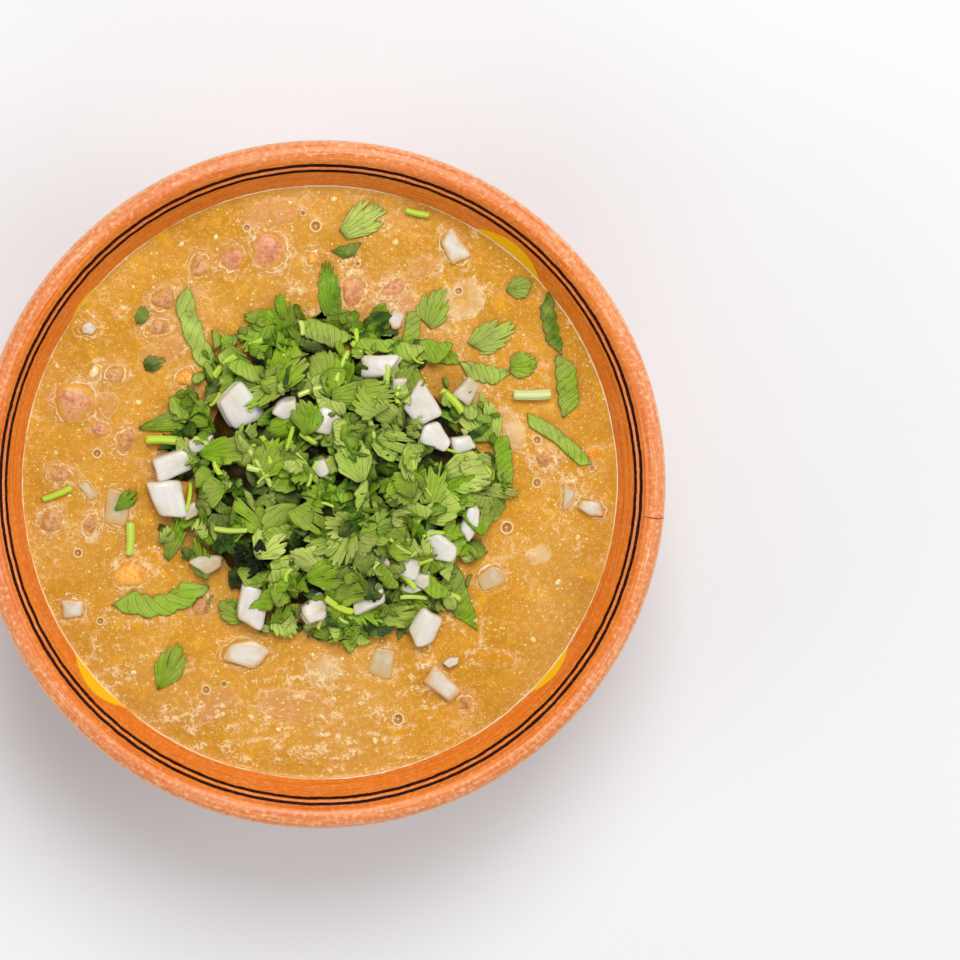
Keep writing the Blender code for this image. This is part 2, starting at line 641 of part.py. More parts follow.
def scattered_leaves(chance):
    """Leaf pieces placed by a seeded rule over the heap, wherever no given leaf is close."""
    found = []
    while len(found) < SCATTERED_LEAVES:
        turn = chance.uniform(0, math.tau)
        reach = heap_reach(turn) * math.sqrt(chance.uniform(0.05, 1.0)) * 0.97
        x, y = HEAP_X + reach * math.cos(turn), HEAP_Y + reach * math.sin(turn)
        if all(math.hypot(x - other.x, y - other.y) > 7.5 for other in HEAP_LEAVES + found):
            length, width, turn = chance.uniform(9, 14), chance.uniform(5, 8), chance.uniform(0, 360)
            found.append(Leaf(x, y, length, width, turn, 0, "fan"))
    return found


def join_collection(target, joined, operation, solver):
    """Applies one Boolean of a whole collection to the target and removes the collection's objects."""
    cutter = target.modifiers.new("joined", "BOOLEAN")
    cutter.operation = operation
    cutter.operand_type = "COLLECTION"
    cutter.collection = joined
    cutter.solver = solver
    bpy.context.view_layer.update()
    evaluated = target.evaluated_get(bpy.context.evaluated_depsgraph_get())
    mesh = bpy.data.meshes.new_from_object(evaluated)
    target.modifiers.clear()
    mesh.name = target.name
    target.data = mesh
    for used in list(joined.objects):
        bpy.data.objects.remove(used, do_unlink=True)
    bpy.data.collections.remove(joined)


def keep_largest(target):
    """Drops the loose scraps of a solid and keeps its largest body."""
    shape = bmesh.new()
    shape.from_mesh(target.data)
    left = set(shape.verts)
    bodies = []
    while left:
        body = set()
        edge = [left.pop()]
        while edge:
            corner = edge.pop()
            body.add(corner)
            near = {link.other_vert(corner) for link in corner.link_edges} & left
            left -= near
            edge += near
        bodies.append(body)
    bodies.sort(key=len, reverse=True)
    scraps = [corner for body in bodies[1:] for corner in body]
    bmesh.ops.delete(shape, geom=scraps, context="VERTS")
    shape.to_mesh(target.data)
    shape.free()


def into_collection(collection, made):
    """Moves an object from the scene's own collection into another."""
    bpy.context.scene.collection.objects.unlink(made)
    collection.objects.link(made)


def make_bowl(material):
    """The turned bowl."""
    floor = FOOT_HEIGHT + FLOOR_THICKNESS
    return turned("bowl", bowl_profile(), floor, FOOT_HEIGHT - 0.6, material)


def make_soup(material):
    """The soup, cut round every half sunk piece with a small gap."""
    soup = soup_body(material)
    cutters = bpy.data.collections.new("sockets")
    bpy.context.scene.collection.children.link(cutters)
    for number, (kind, piece) in enumerate(sunk_pieces()):
        points, faces = sunk_shape(kind, piece, number, GAP)
        into_collection(cutters, solid(f"socket_{number}", points, faces, material))
    join_collection(soup, cutters, "DIFFERENCE", "EXACT")
    return soup


def make_sunk_pieces(materials):
    """Onion, beans, meat, squash and a kernel that lie half sunk in the soup."""
    counts = {}
    for number, (kind, piece) in enumerate(sunk_pieces()):
        counts[kind] = counts.get(kind, 0) + 1
        points, faces = sunk_shape(kind, piece, number)
        solid(f"{kind}_{counts[kind]:02d}", points, faces, materials[kind])


def make_loose_leaves(material):
    """Leaves and shreds that lie on the soup away from the heap."""
    for number, leaf in enumerate(LOOSE_LEAVES, 1):
        steps = 8 if leaf.length > LONG_LEAF else 5
        points, faces = leaf_sheet(leaf, lambda x, y: resting_height(x, y) + 0.1, 0.0, number, 0.7, steps)
        solid(f"cilantro_leaf_{number:02d}", points, faces, material)


def make_loose_stems(material):
    """Cut stems that lie on the soup."""
    for number, stem in enumerate(LOOSE_STEMS, 1):
        radius = stem.thickness / 2
        points, faces = rod(stem, lambda x, y: resting_height(x, y) + radius + 0.1)
        solid(f"cilantro_stem_{number:02d}", points, faces, material)


def make_heap(material):
    """The heap: the core with leaves, onion dice and stems joined on by one union."""
    chance = random.Random(SEED)
    heap = heap_core(material)
    heap.name = "garnish_heap"
    pieces = bpy.data.collections.new("heap_pieces")
    bpy.context.scene.collection.children.link(pieces)
    floor = heap_base() + 0.05
    for number, leaf in enumerate(HEAP_LEAVES + scattered_leaves(chance)):
        centre_share = math.hypot(leaf.x - HEAP_X, leaf.y - HEAP_Y) / HEAP_CALM_RADIUS
        inward = max(0.0, 1.0 - centre_share)
        tilt = chance.uniform(-0.3, 0.3) * inward
        wave = 0.8 + 2.2 * inward
        points, faces = leaf_sheet(leaf, lambda x, y: max(floor, heap_height(x, y) - LEAF_SINK), tilt, number,
                                   wave, 4)
        points = raised(points, floor)
        into_collection(pieces, solid(f"leaf_{number}", points, faces, material))
    for number, cut in enumerate(HEAP_ONIONS):
        middle = max(heap_height(cut.x, cut.y) + 0.1, floor + cut.height / 2 + 0.9)
        tilt, lean = chance.uniform(-16, 16), chance.uniform(-12, 12)
        points, faces = die(cut, middle, tilt, lean, number, 0.0)
        points = [(x, y, max(z, floor)) for x, y, z in points]
        into_collection(pieces, solid(f"onion_{number}", points, faces, material))
    for number, stem in enumerate(HEAP_STEMS):
        points, faces = rod(stem, lambda x, y: max(heap_height(x, y) + 0.5, floor + 1.3))
        into_collection(pieces, solid(f"stem_{number}", points, faces, material))
    join_collection(heap, pieces, "UNION", "EXACT")
    keep_largest(heap)
    return heap


def main():
    """Builds every piece."""
    clear_scene()
    materials = {
        "onion": principled("onion", ONION, 0.35),
        "bean": principled("bean", BEAN, 0.4),
        "meat": principled("meat", MEAT, 0.45),
        "squash": principled("squash", SQUASH, 0.35),
        "kernel": principled("kernel", KERNEL, 0.35),
    }
    cilantro = principled("cilantro", CILANTRO, 0.5)
    make_bowl(principled("terracotta", TERRACOTTA, 0.5))
    make_soup(principled("soup", SOUP, 0.25))
    make_sunk_pieces(materials)
    make_loose_leaves(cilantro)
    make_loose_stems(principled("stem", STEM, 0.4))
    make_heap(cilantro)


main()
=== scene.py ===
"""Looks of a bowl of bean soup with chopped cilantro and onion, in a wheel-turned terracotta bowl."""

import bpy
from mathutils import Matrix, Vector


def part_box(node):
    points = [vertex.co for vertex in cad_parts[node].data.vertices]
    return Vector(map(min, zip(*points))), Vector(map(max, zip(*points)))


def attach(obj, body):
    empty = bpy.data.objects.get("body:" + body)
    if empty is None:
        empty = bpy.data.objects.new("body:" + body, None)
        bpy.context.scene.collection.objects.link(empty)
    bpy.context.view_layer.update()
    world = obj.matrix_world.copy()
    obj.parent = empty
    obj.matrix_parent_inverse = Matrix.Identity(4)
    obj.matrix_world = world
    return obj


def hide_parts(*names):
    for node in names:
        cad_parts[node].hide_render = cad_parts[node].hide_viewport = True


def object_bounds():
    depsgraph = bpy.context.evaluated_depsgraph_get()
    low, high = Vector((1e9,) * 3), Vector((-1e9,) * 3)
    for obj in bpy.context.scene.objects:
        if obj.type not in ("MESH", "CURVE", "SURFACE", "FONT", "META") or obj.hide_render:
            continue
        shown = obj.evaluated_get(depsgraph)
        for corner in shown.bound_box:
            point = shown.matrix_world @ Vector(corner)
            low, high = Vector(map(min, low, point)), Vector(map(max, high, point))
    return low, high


bl_info = {
    "name": "Bowl of bean soup",
    "version": (1, 0, 0),
    "blender": (4, 5, 0),
    "location": "3D View > Sidebar > Soup",
    "description": "Builds a terracotta bowl of soup with its broth, pieces and garnish",
    "category": "Object",
}

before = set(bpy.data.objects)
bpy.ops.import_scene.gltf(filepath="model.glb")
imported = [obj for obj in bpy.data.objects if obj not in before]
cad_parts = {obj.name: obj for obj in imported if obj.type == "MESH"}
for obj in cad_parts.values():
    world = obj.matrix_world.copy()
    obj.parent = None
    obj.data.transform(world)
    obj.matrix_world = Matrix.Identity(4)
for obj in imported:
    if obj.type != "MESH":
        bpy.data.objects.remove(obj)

import math
from collections import namedtuple
from functools import partial

import bmesh
import bpy
import numpy as np
from mathutils import Matrix, Vector

MM = 0.001
CAD_BOX = [list(corner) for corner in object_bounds()]
TOP = CAD_BOX[1][2] / MM
BODY = "root"

# Bowl section, in millimetres, as the solids have it
LIP_ROUND = 3.4
LIP_INNER_RADIUS = 88.4
FOOT_RADIUS = 44.0
FOOT_WIDTH = 7.0
FOOT_HEIGHT = 4.0
FLOOR_HEIGHT = 10.0
SOUP_LEVEL = 58.0

# The mound under the garnish: its middle and its reach in each direction in degrees
HEAP_X = 4.0
HEAP_Y = 1.5
HEAP_REACH = {0: 43, 45: 41, 90: 42, 125: 46, 155: 45, 185: 43, 212: 46, 240: 43, 270: 43, 300: 43,
              330: 42}

# Yellow petals painted on the inside: direction in degrees, half width and height above the soup
Petal = namedtuple("Petal", "turn half rise")
PETALS = [Petal(*row) for row in (
    (51, 12.5, 6.2), (142, 7, 2.2), (-139, 11, 5.6), (-39.5, 9.5, 3.7),
)]
# Radius of the wall where the petals are painted
WALL_RADIUS = 84.0

# Where the looks of the rim begin and are full, in millimetres from the axis or above the table
WORN_LIP_RADII = (90.1, 90.9)
WORN_LIP_HEIGHTS = (63.0, 67.0)
# The lip's outer edge is painted pale: partly wear, partly a painted highlight
EDGE_WEAR_AND_HIGHLIGHT_RADII = (93.7, 94.8)
LINES_ABOVE = 64.5
# Half the widths of the two painted lines
OUTER_LINE_HALF = 0.42
INNER_LINE_HALF = 0.35
# The hairline crack: its direction in degrees and the radius where it begins
CRACK_TURN = -5.7
CRACK_FROM = 89.0


def linear(hex_colour):
    """Linear RGB of an sRGB colour written as six hex digits."""
    parts = [int(hex_colour[place:place + 2], 16) / 255.0 for place in (1, 3, 5)]
    return [part / 12.92 if part <= 0.04045 else ((part + 0.055) / 1.055) ** 2.4 for part in parts]


def length_property(name, description, millimetres):
    """A length in metres whose default is given in millimetres."""
    return bpy.props.FloatProperty(
        name=name, description=description, default=millimetres * MM, unit="LENGTH", precision=4)


def colour_property(name, description, hex_colour):
    """A colour whose default is an sRGB hex value."""
    return bpy.props.FloatVectorProperty(
        name=name, description=description, default=linear(hex_colour), subtype="COLOR", min=0.0, max=1.0,
        size=3)


class SOUP_PG_sizes(bpy.types.PropertyGroup):
    """Sizes that a user would change."""
    rim_radius: length_property("Rim radius", "Outside radius of the bowl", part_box("bowl")[1].x / MM)
    bowl_height: length_property("Bowl height", "Height from foot to lip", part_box("bowl")[1].z / MM)
    heap_height: length_property("Heap height", "Height of the mound under the garnish", 9.6)
    leaf_thickness: length_property("Leaf thickness", "Thickness of a cilantro leaf", 0.28)
    outer_line: length_property("Outer line radius", "Radius of the wider brown line", 87.95)
    inner_line: length_property("Inner line radius", "Radius of the narrower brown line", 86.5)


class SOUP_PG_colours(bpy.types.PropertyGroup):
    """Colours that a user would change."""
    clay: colour_property("Clay", "Glazed terracotta inside the bowl", "#EA8214")
    clay_deep: colour_property("Deep clay", "Darker brush strokes in the glaze", "#CE5F0E")
    lip: colour_property("Lip", "Worn terracotta of the lip", "#E28E4C")
    line: colour_property("Lines", "Painted lines inside the rim", "#200600")
    petal: colour_property("Petals", "Painted yellow petals", "#F4BC06")
    broth: colour_property("Broth", "Thick golden broth", "#D29226")
    broth_deep: colour_property("Deep broth", "Darker, clearer broth", "#BE8216")
    # The foam colour also paints glints of light on the low part of the broth
    froth_and_glints: colour_property("Froth", "Pale froth and menisci", "#F0CC98")
    leaf: colour_property("Leaf", "Fresh cilantro leaf", "#88A61C")
    leaf_pale: colour_property("Pale leaf", "Underside of a cilantro leaf", "#BCCB64")
    # Dark leaf is also the painted shade on leaves low in the heap
    leaf_dark: colour_property("Dark leaf", "Wet and bruised leaf", "#20400A")
    stem: colour_property("Stem", "Cilantro stem", "#BAD42C")
    onion: colour_property("Onion", "Raw white onion", "#DAD6CE")
    # Wet onion is also the painted shade on the sides of the dice in the heap
    onion_wet_and_shaded: colour_property("Wet onion", "Onion soaked by broth", "#C2AE8A")
    bean: colour_property("Bean", "Cooked bean", "#B87A46")
    meat: colour_property("Meat", "Cooked meat", "#C87C54")
    squash: colour_property("Squash", "Cooked squash", "#EC9A2C")


# Noise and small maths on whole arrays

# Corners on each side of the noise's lattice, after which it repeats, and the corner where 0 lies
LATTICE = 97
LATTICE_START = 500.0
# A distance that counts as far from everything, in millimetres
FAR = 9.0


def smooth_step(low, high, value):
    """0 below low, 1 above high and a smooth rise between."""
    share = np.clip((value - low) / (high - low), 0.0, 1.0)
    return share * share * (3.0 - 2.0 * share)


def lattice_noise(x, y, size, seed):
    """Random values at the corners of a square lattice, blended between them by smoothstep: -1 to 1."""
    table = np.random.default_rng(seed).uniform(-1.0, 1.0, (LATTICE, LATTICE))
    u, v = x / size + LATTICE_START, y / size + LATTICE_START
    i, j = np.floor(u).astype(int), np.floor(v).astype(int)
    across, up = smooth_step(0.0, 1.0, u - i), smooth_step(0.0, 1.0, v - j)
    left, low = i % LATTICE, j % LATTICE
    right, high = (i + 1) % LATTICE, (j + 1) % LATTICE
    below = table[left, low] * (1 - across) + table[right, low] * across
    above = table[left, high] * (1 - across) + table[right, high] * across
    return below * (1 - up) + above * up


def turned(x, y, turn):
    """The pair x and y turned about the origin by an angle in radians."""
    return x * math.cos(turn) - y * math.sin(turn), x * math.sin(turn) + y * math.cos(turn)


def round_grid(rows, columns):
    """Angles from pole to pole as a column, and right round as a row, for a closed round shape."""
    return (np.linspace(0.0, math.pi, rows)[:, None],
            np.linspace(0.0, 2.0 * math.pi, columns, endpoint=False)[None, :])


def bezier(start, handle_a, handle_b, end, count):
    """Points of a cubic curve: the four given points weighted by the Bernstein polynomials."""
    t = np.linspace(0.0, 1.0, count)[:, None]
    corners = [np.array(point, float) for point in (start, handle_a, handle_b, end)]
    return ((1 - t) ** 3 * corners[0] + 3 * t * (1 - t) ** 2 * corners[1]
            + 3 * t * t * (1 - t) * corners[2] + t ** 3 * corners[3])


# Meshes from grids of points

class Surfaces:
    """Gathers grid surfaces, each a function of two parameters, into one mesh."""

    def __init__(self):
        self.points = []
        self.faces = []
        self.values = {}
        self.count = 0

    def grid(self, points, round_rows=False, round_columns=False, **values):
        """Adds a grid of points and, for each named attribute, a number or an array of the grid's shape."""
        rows, columns = points.shape[:2]
        i = np.arange(rows if round_rows else rows - 1)[:, None]
        j = np.arange(columns if round_columns else columns - 1)[None, :]
        below, beside = (i + 1) % rows, (j + 1) % columns
        corners = (i * columns + j, below * columns + j, below * columns + beside, i * columns + beside)
        quads = np.stack([corner + 0 * (i + j) for corner in corners], -1).reshape(-1, 4)
        self.points.append(points.reshape(-1, 3))
        self.faces.append(quads + self.count)
        self.count += rows * columns
        for name, value in values.items():
            filled = np.broadcast_to(np.asarray(value, float), (rows, columns)).reshape(-1)
            self.values.setdefault(name, []).append(filled)

    def piece(self, name, material, nodes, thickness=0.0, weld=False):
        """Makes the mesh object: millimetres to metres, attributes, optional weld and thickness."""
        points = np.concatenate(self.points) * MM
        faces = np.concatenate(self.faces)
        mesh = bpy.data.meshes.new(name)
        mesh.vertices.add(len(points))
        mesh.vertices.foreach_set("co", points.astype(np.float32).ravel())
        mesh.loops.add(faces.size)
        mesh.loops.foreach_set("vertex_index", faces.astype(np.int32).ravel())
        mesh.polygons.add(len(faces))
        mesh.polygons.foreach_set("loop_start", np.arange(0, faces.size, 4, dtype=np.int32))
        for attribute, parts in self.values.items():
            layer = mesh.attributes.new(attribute, "FLOAT", "POINT")
            layer.data.foreach_set("value", np.concatenate(parts).astype(np.float32))
        mesh.update(calc_edges=True)
        if weld:
            shape = bmesh.new()
            shape.from_mesh(mesh)
            bmesh.ops.remove_doubles(shape, verts=shape.verts[:], dist=1e-7)
            bmesh.ops.recalc_face_normals(shape, faces=shape.faces[:])
            shape.to_mesh(mesh)
            shape.free()
        mesh.shade_smooth()
        mesh.materials.append(material)
        made = bpy.data.objects.new(name, mesh)
        bpy.context.scene.collection.objects.link(made)
        if thickness:
            wall = made.modifiers.new("Thickness", "SOLIDIFY")
            wall.thickness = thickness
            wall.offset = 0.0
            made.modifiers.new("Flat faces", "WEIGHTED_NORMAL")
        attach(made, BODY)
        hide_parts(*nodes)
        return made


# The nodes that stand out of the broth
RESTING = ("onion", "bean", "meat", "squash", "kernel")


def nodes_named(*starts):
    """Names of the frame's nodes that begin with any of the given words."""
    return [name for name in sorted(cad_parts) if name.startswith(starts)]


# Materials: a noise's scale is one over the size in metres of its largest lumps, 620 for pulp of 1.6 mm

# Which output of a node is used, where that isn't its first
OUTPUTS = {"Mix": 2, "Attribute": "Fac", "TexCoord": "Object"}


def fill(node, values):
    """Gives a node's sockets a link, a number, a vector, or a colour as hex digits or a property."""
    for name, value in values.items():
        socket = node.inputs[name]
        if isinstance(value, bpy.types.NodeSocket):
            node.id_data.links.new(value, socket)
        else:
            value = linear(value) if isinstance(value, str) else value
            socket.default_value = (*value, 1.0) if socket.type == "RGBA" else value


def add_node(tree, kind, *values, output=None, **words):
    """Adds a node, fills its sockets in order or by name, makes its settings and returns one output.

    A kind in capitals is an operation of the maths node, and a SmoothRange is a range with soft ends.
    """
    if kind.isupper():
        kind, words = "Math", {"operation": kind, **words}
    elif kind == "SmoothRange":
        kind, words = "MapRange", {"interpolation_type": "SMOOTHSTEP", **words}
    elif kind == "Mix":
        words["data_type"] = "RGBA"
    made = tree.nodes.new("ShaderNode" + kind)
    sockets = dict(zip((0, 6, 7) if kind == "Mix" else range(5), values))
    for name, value in words.items():
        if name in made.inputs:
            sockets[name] = value
        else:
            setattr(made, name, value)
    fill(made, sockets)
    return made.outputs[OUTPUTS.get(kind, 0) if output is None else output]


def new_material(name, **constants):
    """A material, its Principled shader with the constant sockets set, and add_node for its tree."""
    material = bpy.data.materials.new(name)
    material.use_nodes = True
    shader = material.node_tree.nodes["Principled BSDF"]
    fill(shader, {socket.replace("_", " "): value for socket, value in constants.items()})
    return material, shader, partial(add_node, material.node_tree)


def washed(add, colour, *washes):
    """Lays washes over a colour: each has its guide, where it starts and is full, its most and its tone."""
    for guide, start, full, most, tone in washes:
        colour = add("Mix", add("MapRange", guide, start, full, 0.0, most), colour, tone)
    return colour


def turned_terracotta(sizes, colours):
    """Low-fired terracotta, wheel-turned and brushed with a thin satin slip inside.

    The wheel leaves fine rings, the brush leaves streaks along them, and the worn lip is paler and dry.
    """
    material, shader, add = new_material("Wheel-turned terracotta", IOR=1.5)
    place = add("TexCoord")
    x, y, z = (add("SeparateXYZ", place, output=axis) for axis in "XYZ")
    flat = add("CombineXYZ", x, y)
    radius = add("VectorMath", flat, output="Value", operation="LENGTH")
    turn = add("ARCTAN2", y, x)
    radius_mm = add("MULTIPLY", radius, 1.0 / MM)
    z_mm = add("MULTIPLY", z, 1.0 / MM)
    # Rings left by the wheel, about 0.7 mm apart and many centimetres long
    rings_at = add("CombineXYZ", radius_mm, z_mm, turn)
    rings_scaled = add("VectorMath", rings_at, (1.4, 1.4, 2.2), operation="MULTIPLY")
    rings = add("TexNoise", rings_scaled, Scale=1.0, Detail=3.0, Roughness=0.6)
    mottle = add("TexNoise", place, Scale=150.0, Detail=4.0, Roughness=0.65)
    grain = add("TexNoise", place, Scale=1400.0, Detail=2.0)
    streak = add("MapRange", rings, 0.35, 0.68)
    clay = add("Mix", streak, colours.clay_deep, colours.clay)
    # Blotches of 7 mm where the slip is thin
    clay = washed(add, clay, (mottle, 0.35, 0.7, 0.35, "#E98A3C"))
    # Pale dry lip outside the lines
    wander = add("MapRange", mottle, 0.0, 1.0, -0.35, 0.35)
    lip_radius = add("ADD", radius_mm, wander)
    lip_out = add("SmoothRange", lip_radius, *WORN_LIP_RADII)
    lip_up = add("SmoothRange", z_mm, *WORN_LIP_HEIGHTS)
    lip_share = add("MULTIPLY", lip_out, lip_up)
    lip_tone = add("Mix", streak, "#D4713A", colours.lip)
    clay = add("Mix", lip_share, clay, lip_tone)
    # Pale scratches of about 0.2 mm along the lip, and its outer edge painted pale: partly wear, partly a
    # painted highlight
    scratch_at = add("VectorMath", rings_at, (4.0, 4.0, 7.0), operation="MULTIPLY")
    scratch_and_edge_highlight = add("TexNoise", scratch_at, Scale=1.0, Detail=3.0, Roughness=0.55)
    scratch_and_edge_highlight = add("MapRange", scratch_and_edge_highlight, 0.56, 0.7, 0.0, 0.75)
    edge = add("MapRange", lip_radius, *EDGE_WEAR_AND_HIGHLIGHT_RADII, 0.0, 0.55)
    scratch_and_edge_highlight = add("MAXIMUM", scratch_and_edge_highlight, edge)
    scratch_and_edge_highlight = add("MULTIPLY", scratch_and_edge_highlight, lip_share)
    clay = add("Mix", scratch_and_edge_highlight, clay, "#F0C498")
    # Bright grit and open pores of 0.5 to 1 mm, which show most on the lip
    grit = add("TexNoise", place, Scale=800.0, Detail=3.0, Roughness=0.6)
    shown = add("MapRange", lip_share, 0.0, 1.0, 0.45, 1.0)
    for low, high, most, tone in ((0.54, 0.66, 0.55, "#F6C39C"), (0.46, 0.34, 0.5, "#C4581E")):
        share = add("MapRange", grit, low, high, 0.0, most)
        share = add("MULTIPLY", share, shown)
        clay = add("Mix", share, clay, tone)
    # The bare outside is duller and redder
    outside = add("Attribute", attribute_name="outside")
    stain = add("TexNoise", place, Scale=22.0, Detail=4.0, Roughness=0.6)
    bare = add("Mix", streak, "#B45A2C", "#C66E3C")
    bare = washed(add, bare, (stain, 0.5, 0.72, 0.45, "#9C4A24"))
    clay = add("Mix", outside, clay, bare)
    # Yellow petals painted on the wall, below the lines: each lies under a parabola along the wall
    inside = add("LESS_THAN", outside, 0.04)
    for petal in PETALS:
        off = add("SUBTRACT", turn, math.radians(petal.turn))
        arc = add("MULTIPLY", off, WALL_RADIUS / petal.half)
        bow = add("MULTIPLY", arc, arc)
        tip = add("MULTIPLY_ADD", bow, -petal.rise, SOUP_LEVEL + petal.rise)
        above = add("SUBTRACT", z_mm, tip)
        share = add("SmoothRange", above, 0.3, -0.4)
        share = add("MULTIPLY", share, inside)
        clay = add("Mix", share, clay, colours.petal)
    # Two painted lines with a slightly unsteady edge
    shake = add("TexNoise", place, Scale=260.0, Detail=2.0)
    shake = add("MapRange", shake, 0.0, 1.0, -0.22, 0.22)
    shaken = add("ADD", radius_mm, shake)
    line_share = None
    for line_radius, half in ((sizes.outer_line, OUTER_LINE_HALF), (sizes.inner_line, INNER_LINE_HALF)):
        away = add("ABSOLUTE", add("SUBTRACT", shaken, line_radius / MM))
        line = add("SmoothRange", away, half + 0.12, half - 0.1)
        line_share = line if line_share is None else add("MAXIMUM", line_share, line)
    high = add("GREATER_THAN", z_mm, LINES_ABOVE)
    line_share = add("MULTIPLY", line_share, high)
    worn = add("MapRange", grain, 0.3, 0.5, 0.93, 1.0)
    line_share = add("MULTIPLY", line_share, worn)
    clay = add("Mix", line_share, clay, colours.line)
    # Hairline crack across the lip, its wobble and width in radians
    off = add("SUBTRACT", turn, math.radians(CRACK_TURN))
    wobble = add("TexNoise", place, Scale=420.0)
    off = add("MULTIPLY_ADD", wobble, 0.012, off)
    off = add("ABSOLUTE", add("SUBTRACT", off, 0.006))
    crack = add("MapRange", off, 0.0022, 0.0010)
    crack_out = add("GREATER_THAN", radius_mm, CRACK_FROM)
    crack = add("MULTIPLY", crack, crack_out)
    crack = add("MULTIPLY", crack, lip_up)
    clay = add("Mix", crack, clay, "#7A2C10")
    # Pinholes of 0.4 mm in one out of seven cells of 2.4 mm
    pits, chosen = (add("TexVoronoi", place, Scale=420.0, output=each) for each in ("Distance", "Color"))
    chosen = add("GREATER_THAN", chosen, 0.86)
    pit = add("MapRange", pits, 0.16, 0.08)
    pit = add("MULTIPLY", pit, chosen)
    pit_share = add("MULTIPLY", pit, 0.6)
    clay = add("Mix", pit_share, clay, "#8A3A12")
    rough = add("MapRange", rings, 0.3, 0.7, 0.24, 0.42)
    for share, rougher in ((lip_share, 0.12), (outside, 0.3), (line_share, 0.4)):
        rough = add("MULTIPLY_ADD", share, rougher, rough)
    shine = add("MapRange", line_share, 0.0, 1.0, 0.5, 0.08)
    relief = rings
    for share, rise in ((grit, 0.5), (pit, -1.2), (crack, -2.0)):
        relief = add("MULTIPLY_ADD", share, rise, relief)
    bump = add("Bump", Strength=0.5, Distance=0.00012, Height=relief)
    fill(shader, {"Base Color": clay, "Roughness": rough, "Specular IOR Level": shine, "Normal": bump})
    return material


def thick_broth(colours):
    """Blended bean broth: opaque, wet and smooth, with fine pulp, pale menisci painted as highlights, foam
    with painted glints, and specks.
    """
    material, shader, add = new_material("Bean broth", IOR=1.36)
    place = add("TexCoord")
    # Clouds of 17 mm, pulp of 1.6 mm, grains of 0.7 mm, slow drifts of 36 mm and drops of 6 mm
    cloud, pulp, fine, slow, drops = (
        add("TexNoise", place, Scale=scale, Detail=detail, Roughness=rough) for scale, detail, rough in (
            (60.0, 5.0, 0.6), (620.0, 4.0, 0.7), (1500.0, 2.0, 0.6), (28.0, 3.0, 0.5), (170.0, 3.0, 0.5)))
    # Bean pulp in slow clouds, golden fat in drops, and grains from light to dark
    colour = washed(
        add, colours.broth_deep, (cloud, 0.38, 0.66, 1.0, colours.broth), (slow, 0.45, 0.65, 0.5, "#CB944A"),
        (drops, 0.57, 0.72, 0.65, "#E2A010"), (pulp, 0.5, 0.74, 0.55, "#E4B666"),
        (fine, 0.44, 0.3, 0.4, "#AE761A"))
    # What lies just under the surface shows through softly
    for name, tone, most in (("pink", "#C98A5E", 0.6), ("pale", "#DCC79C", 0.6), ("orange", "#E9901E", 0.7)):
        share = add("Attribute", attribute_name=name)
        broken = add("MapRange", drops, 0.38, 0.6, 0.25 * most, most)
        share = add("MULTIPLY", share, broken)
        colour = add("Mix", share, colour, tone)
    # Small pale and brown specks of 0.4 to 1 mm
    for scale, tone, least, size in ((1150.0, "#E6C07A", 0.45, 0.3), (640.0, "#F2D69C", 0.62, 0.25),
                                     (330.0, "#F5DCA8", 0.9, 0.2), (410.0, "#8A4A18", 0.93, 0.18)):
        speck, kept = (add("TexVoronoi", place, Scale=scale, output=each) for each in ("Distance", "Color"))
        kept = add("GREATER_THAN", kept, least)
        dot = add("MapRange", speck, size, size * 0.5)
        dot = add("MULTIPLY", dot, kept)
        dot = add("MULTIPLY", dot, 0.8)
        colour = add("Mix", dot, colour, tone)
    # Froth in broken flecks, with glints of light painted the same way in the low part of the broth, and
    # filaments of fat: thin lines where a noise crosses its middle
    froth_and_glints = add("Attribute", attribute_name="froth_and_glints")
    flecks = add("MapRange", pulp, 0.5, 0.6)
    flecks = add("MULTIPLY", froth_and_glints, flecks)
    swirl = add("TexNoise", place, Scale=190.0, Detail=5.0, Roughness=0.6)
    swirl = add("ABSOLUTE", add("SUBTRACT", swirl, 0.5))
    swirl = add("MapRange", swirl, 0.024, 0.006)
    here = add("MapRange", cloud, 0.54, 0.66, 0.0, 0.55)
    here = add("MAXIMUM", here, froth_and_glints)
    swirl = add("MULTIPLY", swirl, here)
    flecks = add("MAXIMUM", flecks, swirl)
    colour = add("Mix", flecks, colour, colours.froth_and_glints)
    # Thin pale lines that wander along the edge of each piece, each bubble and the wall: painted highlights
    # where the menisci catch the light, with some foam
    wander = add("TexNoise", place, Scale=260.0, Detail=3.0)
    wander = add("MapRange", wander, 0.0, 1.0, -0.8, 0.8)
    broken = add("MapRange", drops, 0.4, 0.58, 0.0, 0.9)
    faint = add("MULTIPLY", broken, 0.55)
    lines = None
    for name, at, half, shake, most in (
            ("near_piece", 0.3, 0.12, 1.3, broken), ("near_piece", 1.6, 0.07, 3.4, faint),
            ("near_sunk", 0.2, 0.08, 1.6, faint), ("near_bubble", 0.0, 0.1, 0.3, 0.8),
            ("near_wall", 0.5, 0.16, 0.3, 0.9)):
        away = add("Attribute", attribute_name=name)
        away = add("MULTIPLY_ADD", wander, shake, away)
        away = add("ABSOLUTE", add("SUBTRACT", away, at))
        line = add("SmoothRange", away, half + 0.14, half * 0.4)
        line = add("MULTIPLY", line, most)
        lines = line if lines is None else add("MAXIMUM", lines, line)
    colour = add("Mix", lines, colour, "#F3DCB4")
    # A bubble is painted dark inside, as the shade seen through it into the broth, with a painted highlight
    # in its middle
    inside = add("Attribute", attribute_name="near_bubble")
    colour = washed(add, colour, (inside, -0.15, -0.4, 0.6, "#8C5213"), (inside, -0.8, -1.0, 0.7, "#E8D2B4"))
    rough = add("MapRange", pulp, 0.3, 0.7, 0.16, 0.34)
    relief = drops
    for share, rise in ((pulp, 0.35), (flecks, 0.2), (lines, 0.3)):
        relief = add("MULTIPLY_ADD", share, rise, relief)
    bump = add("Bump", Strength=0.55, Distance=0.0009, Height=relief)
    fill(shader, {"Base Color": colour, "Roughness": rough, "Normal": bump})
    return material


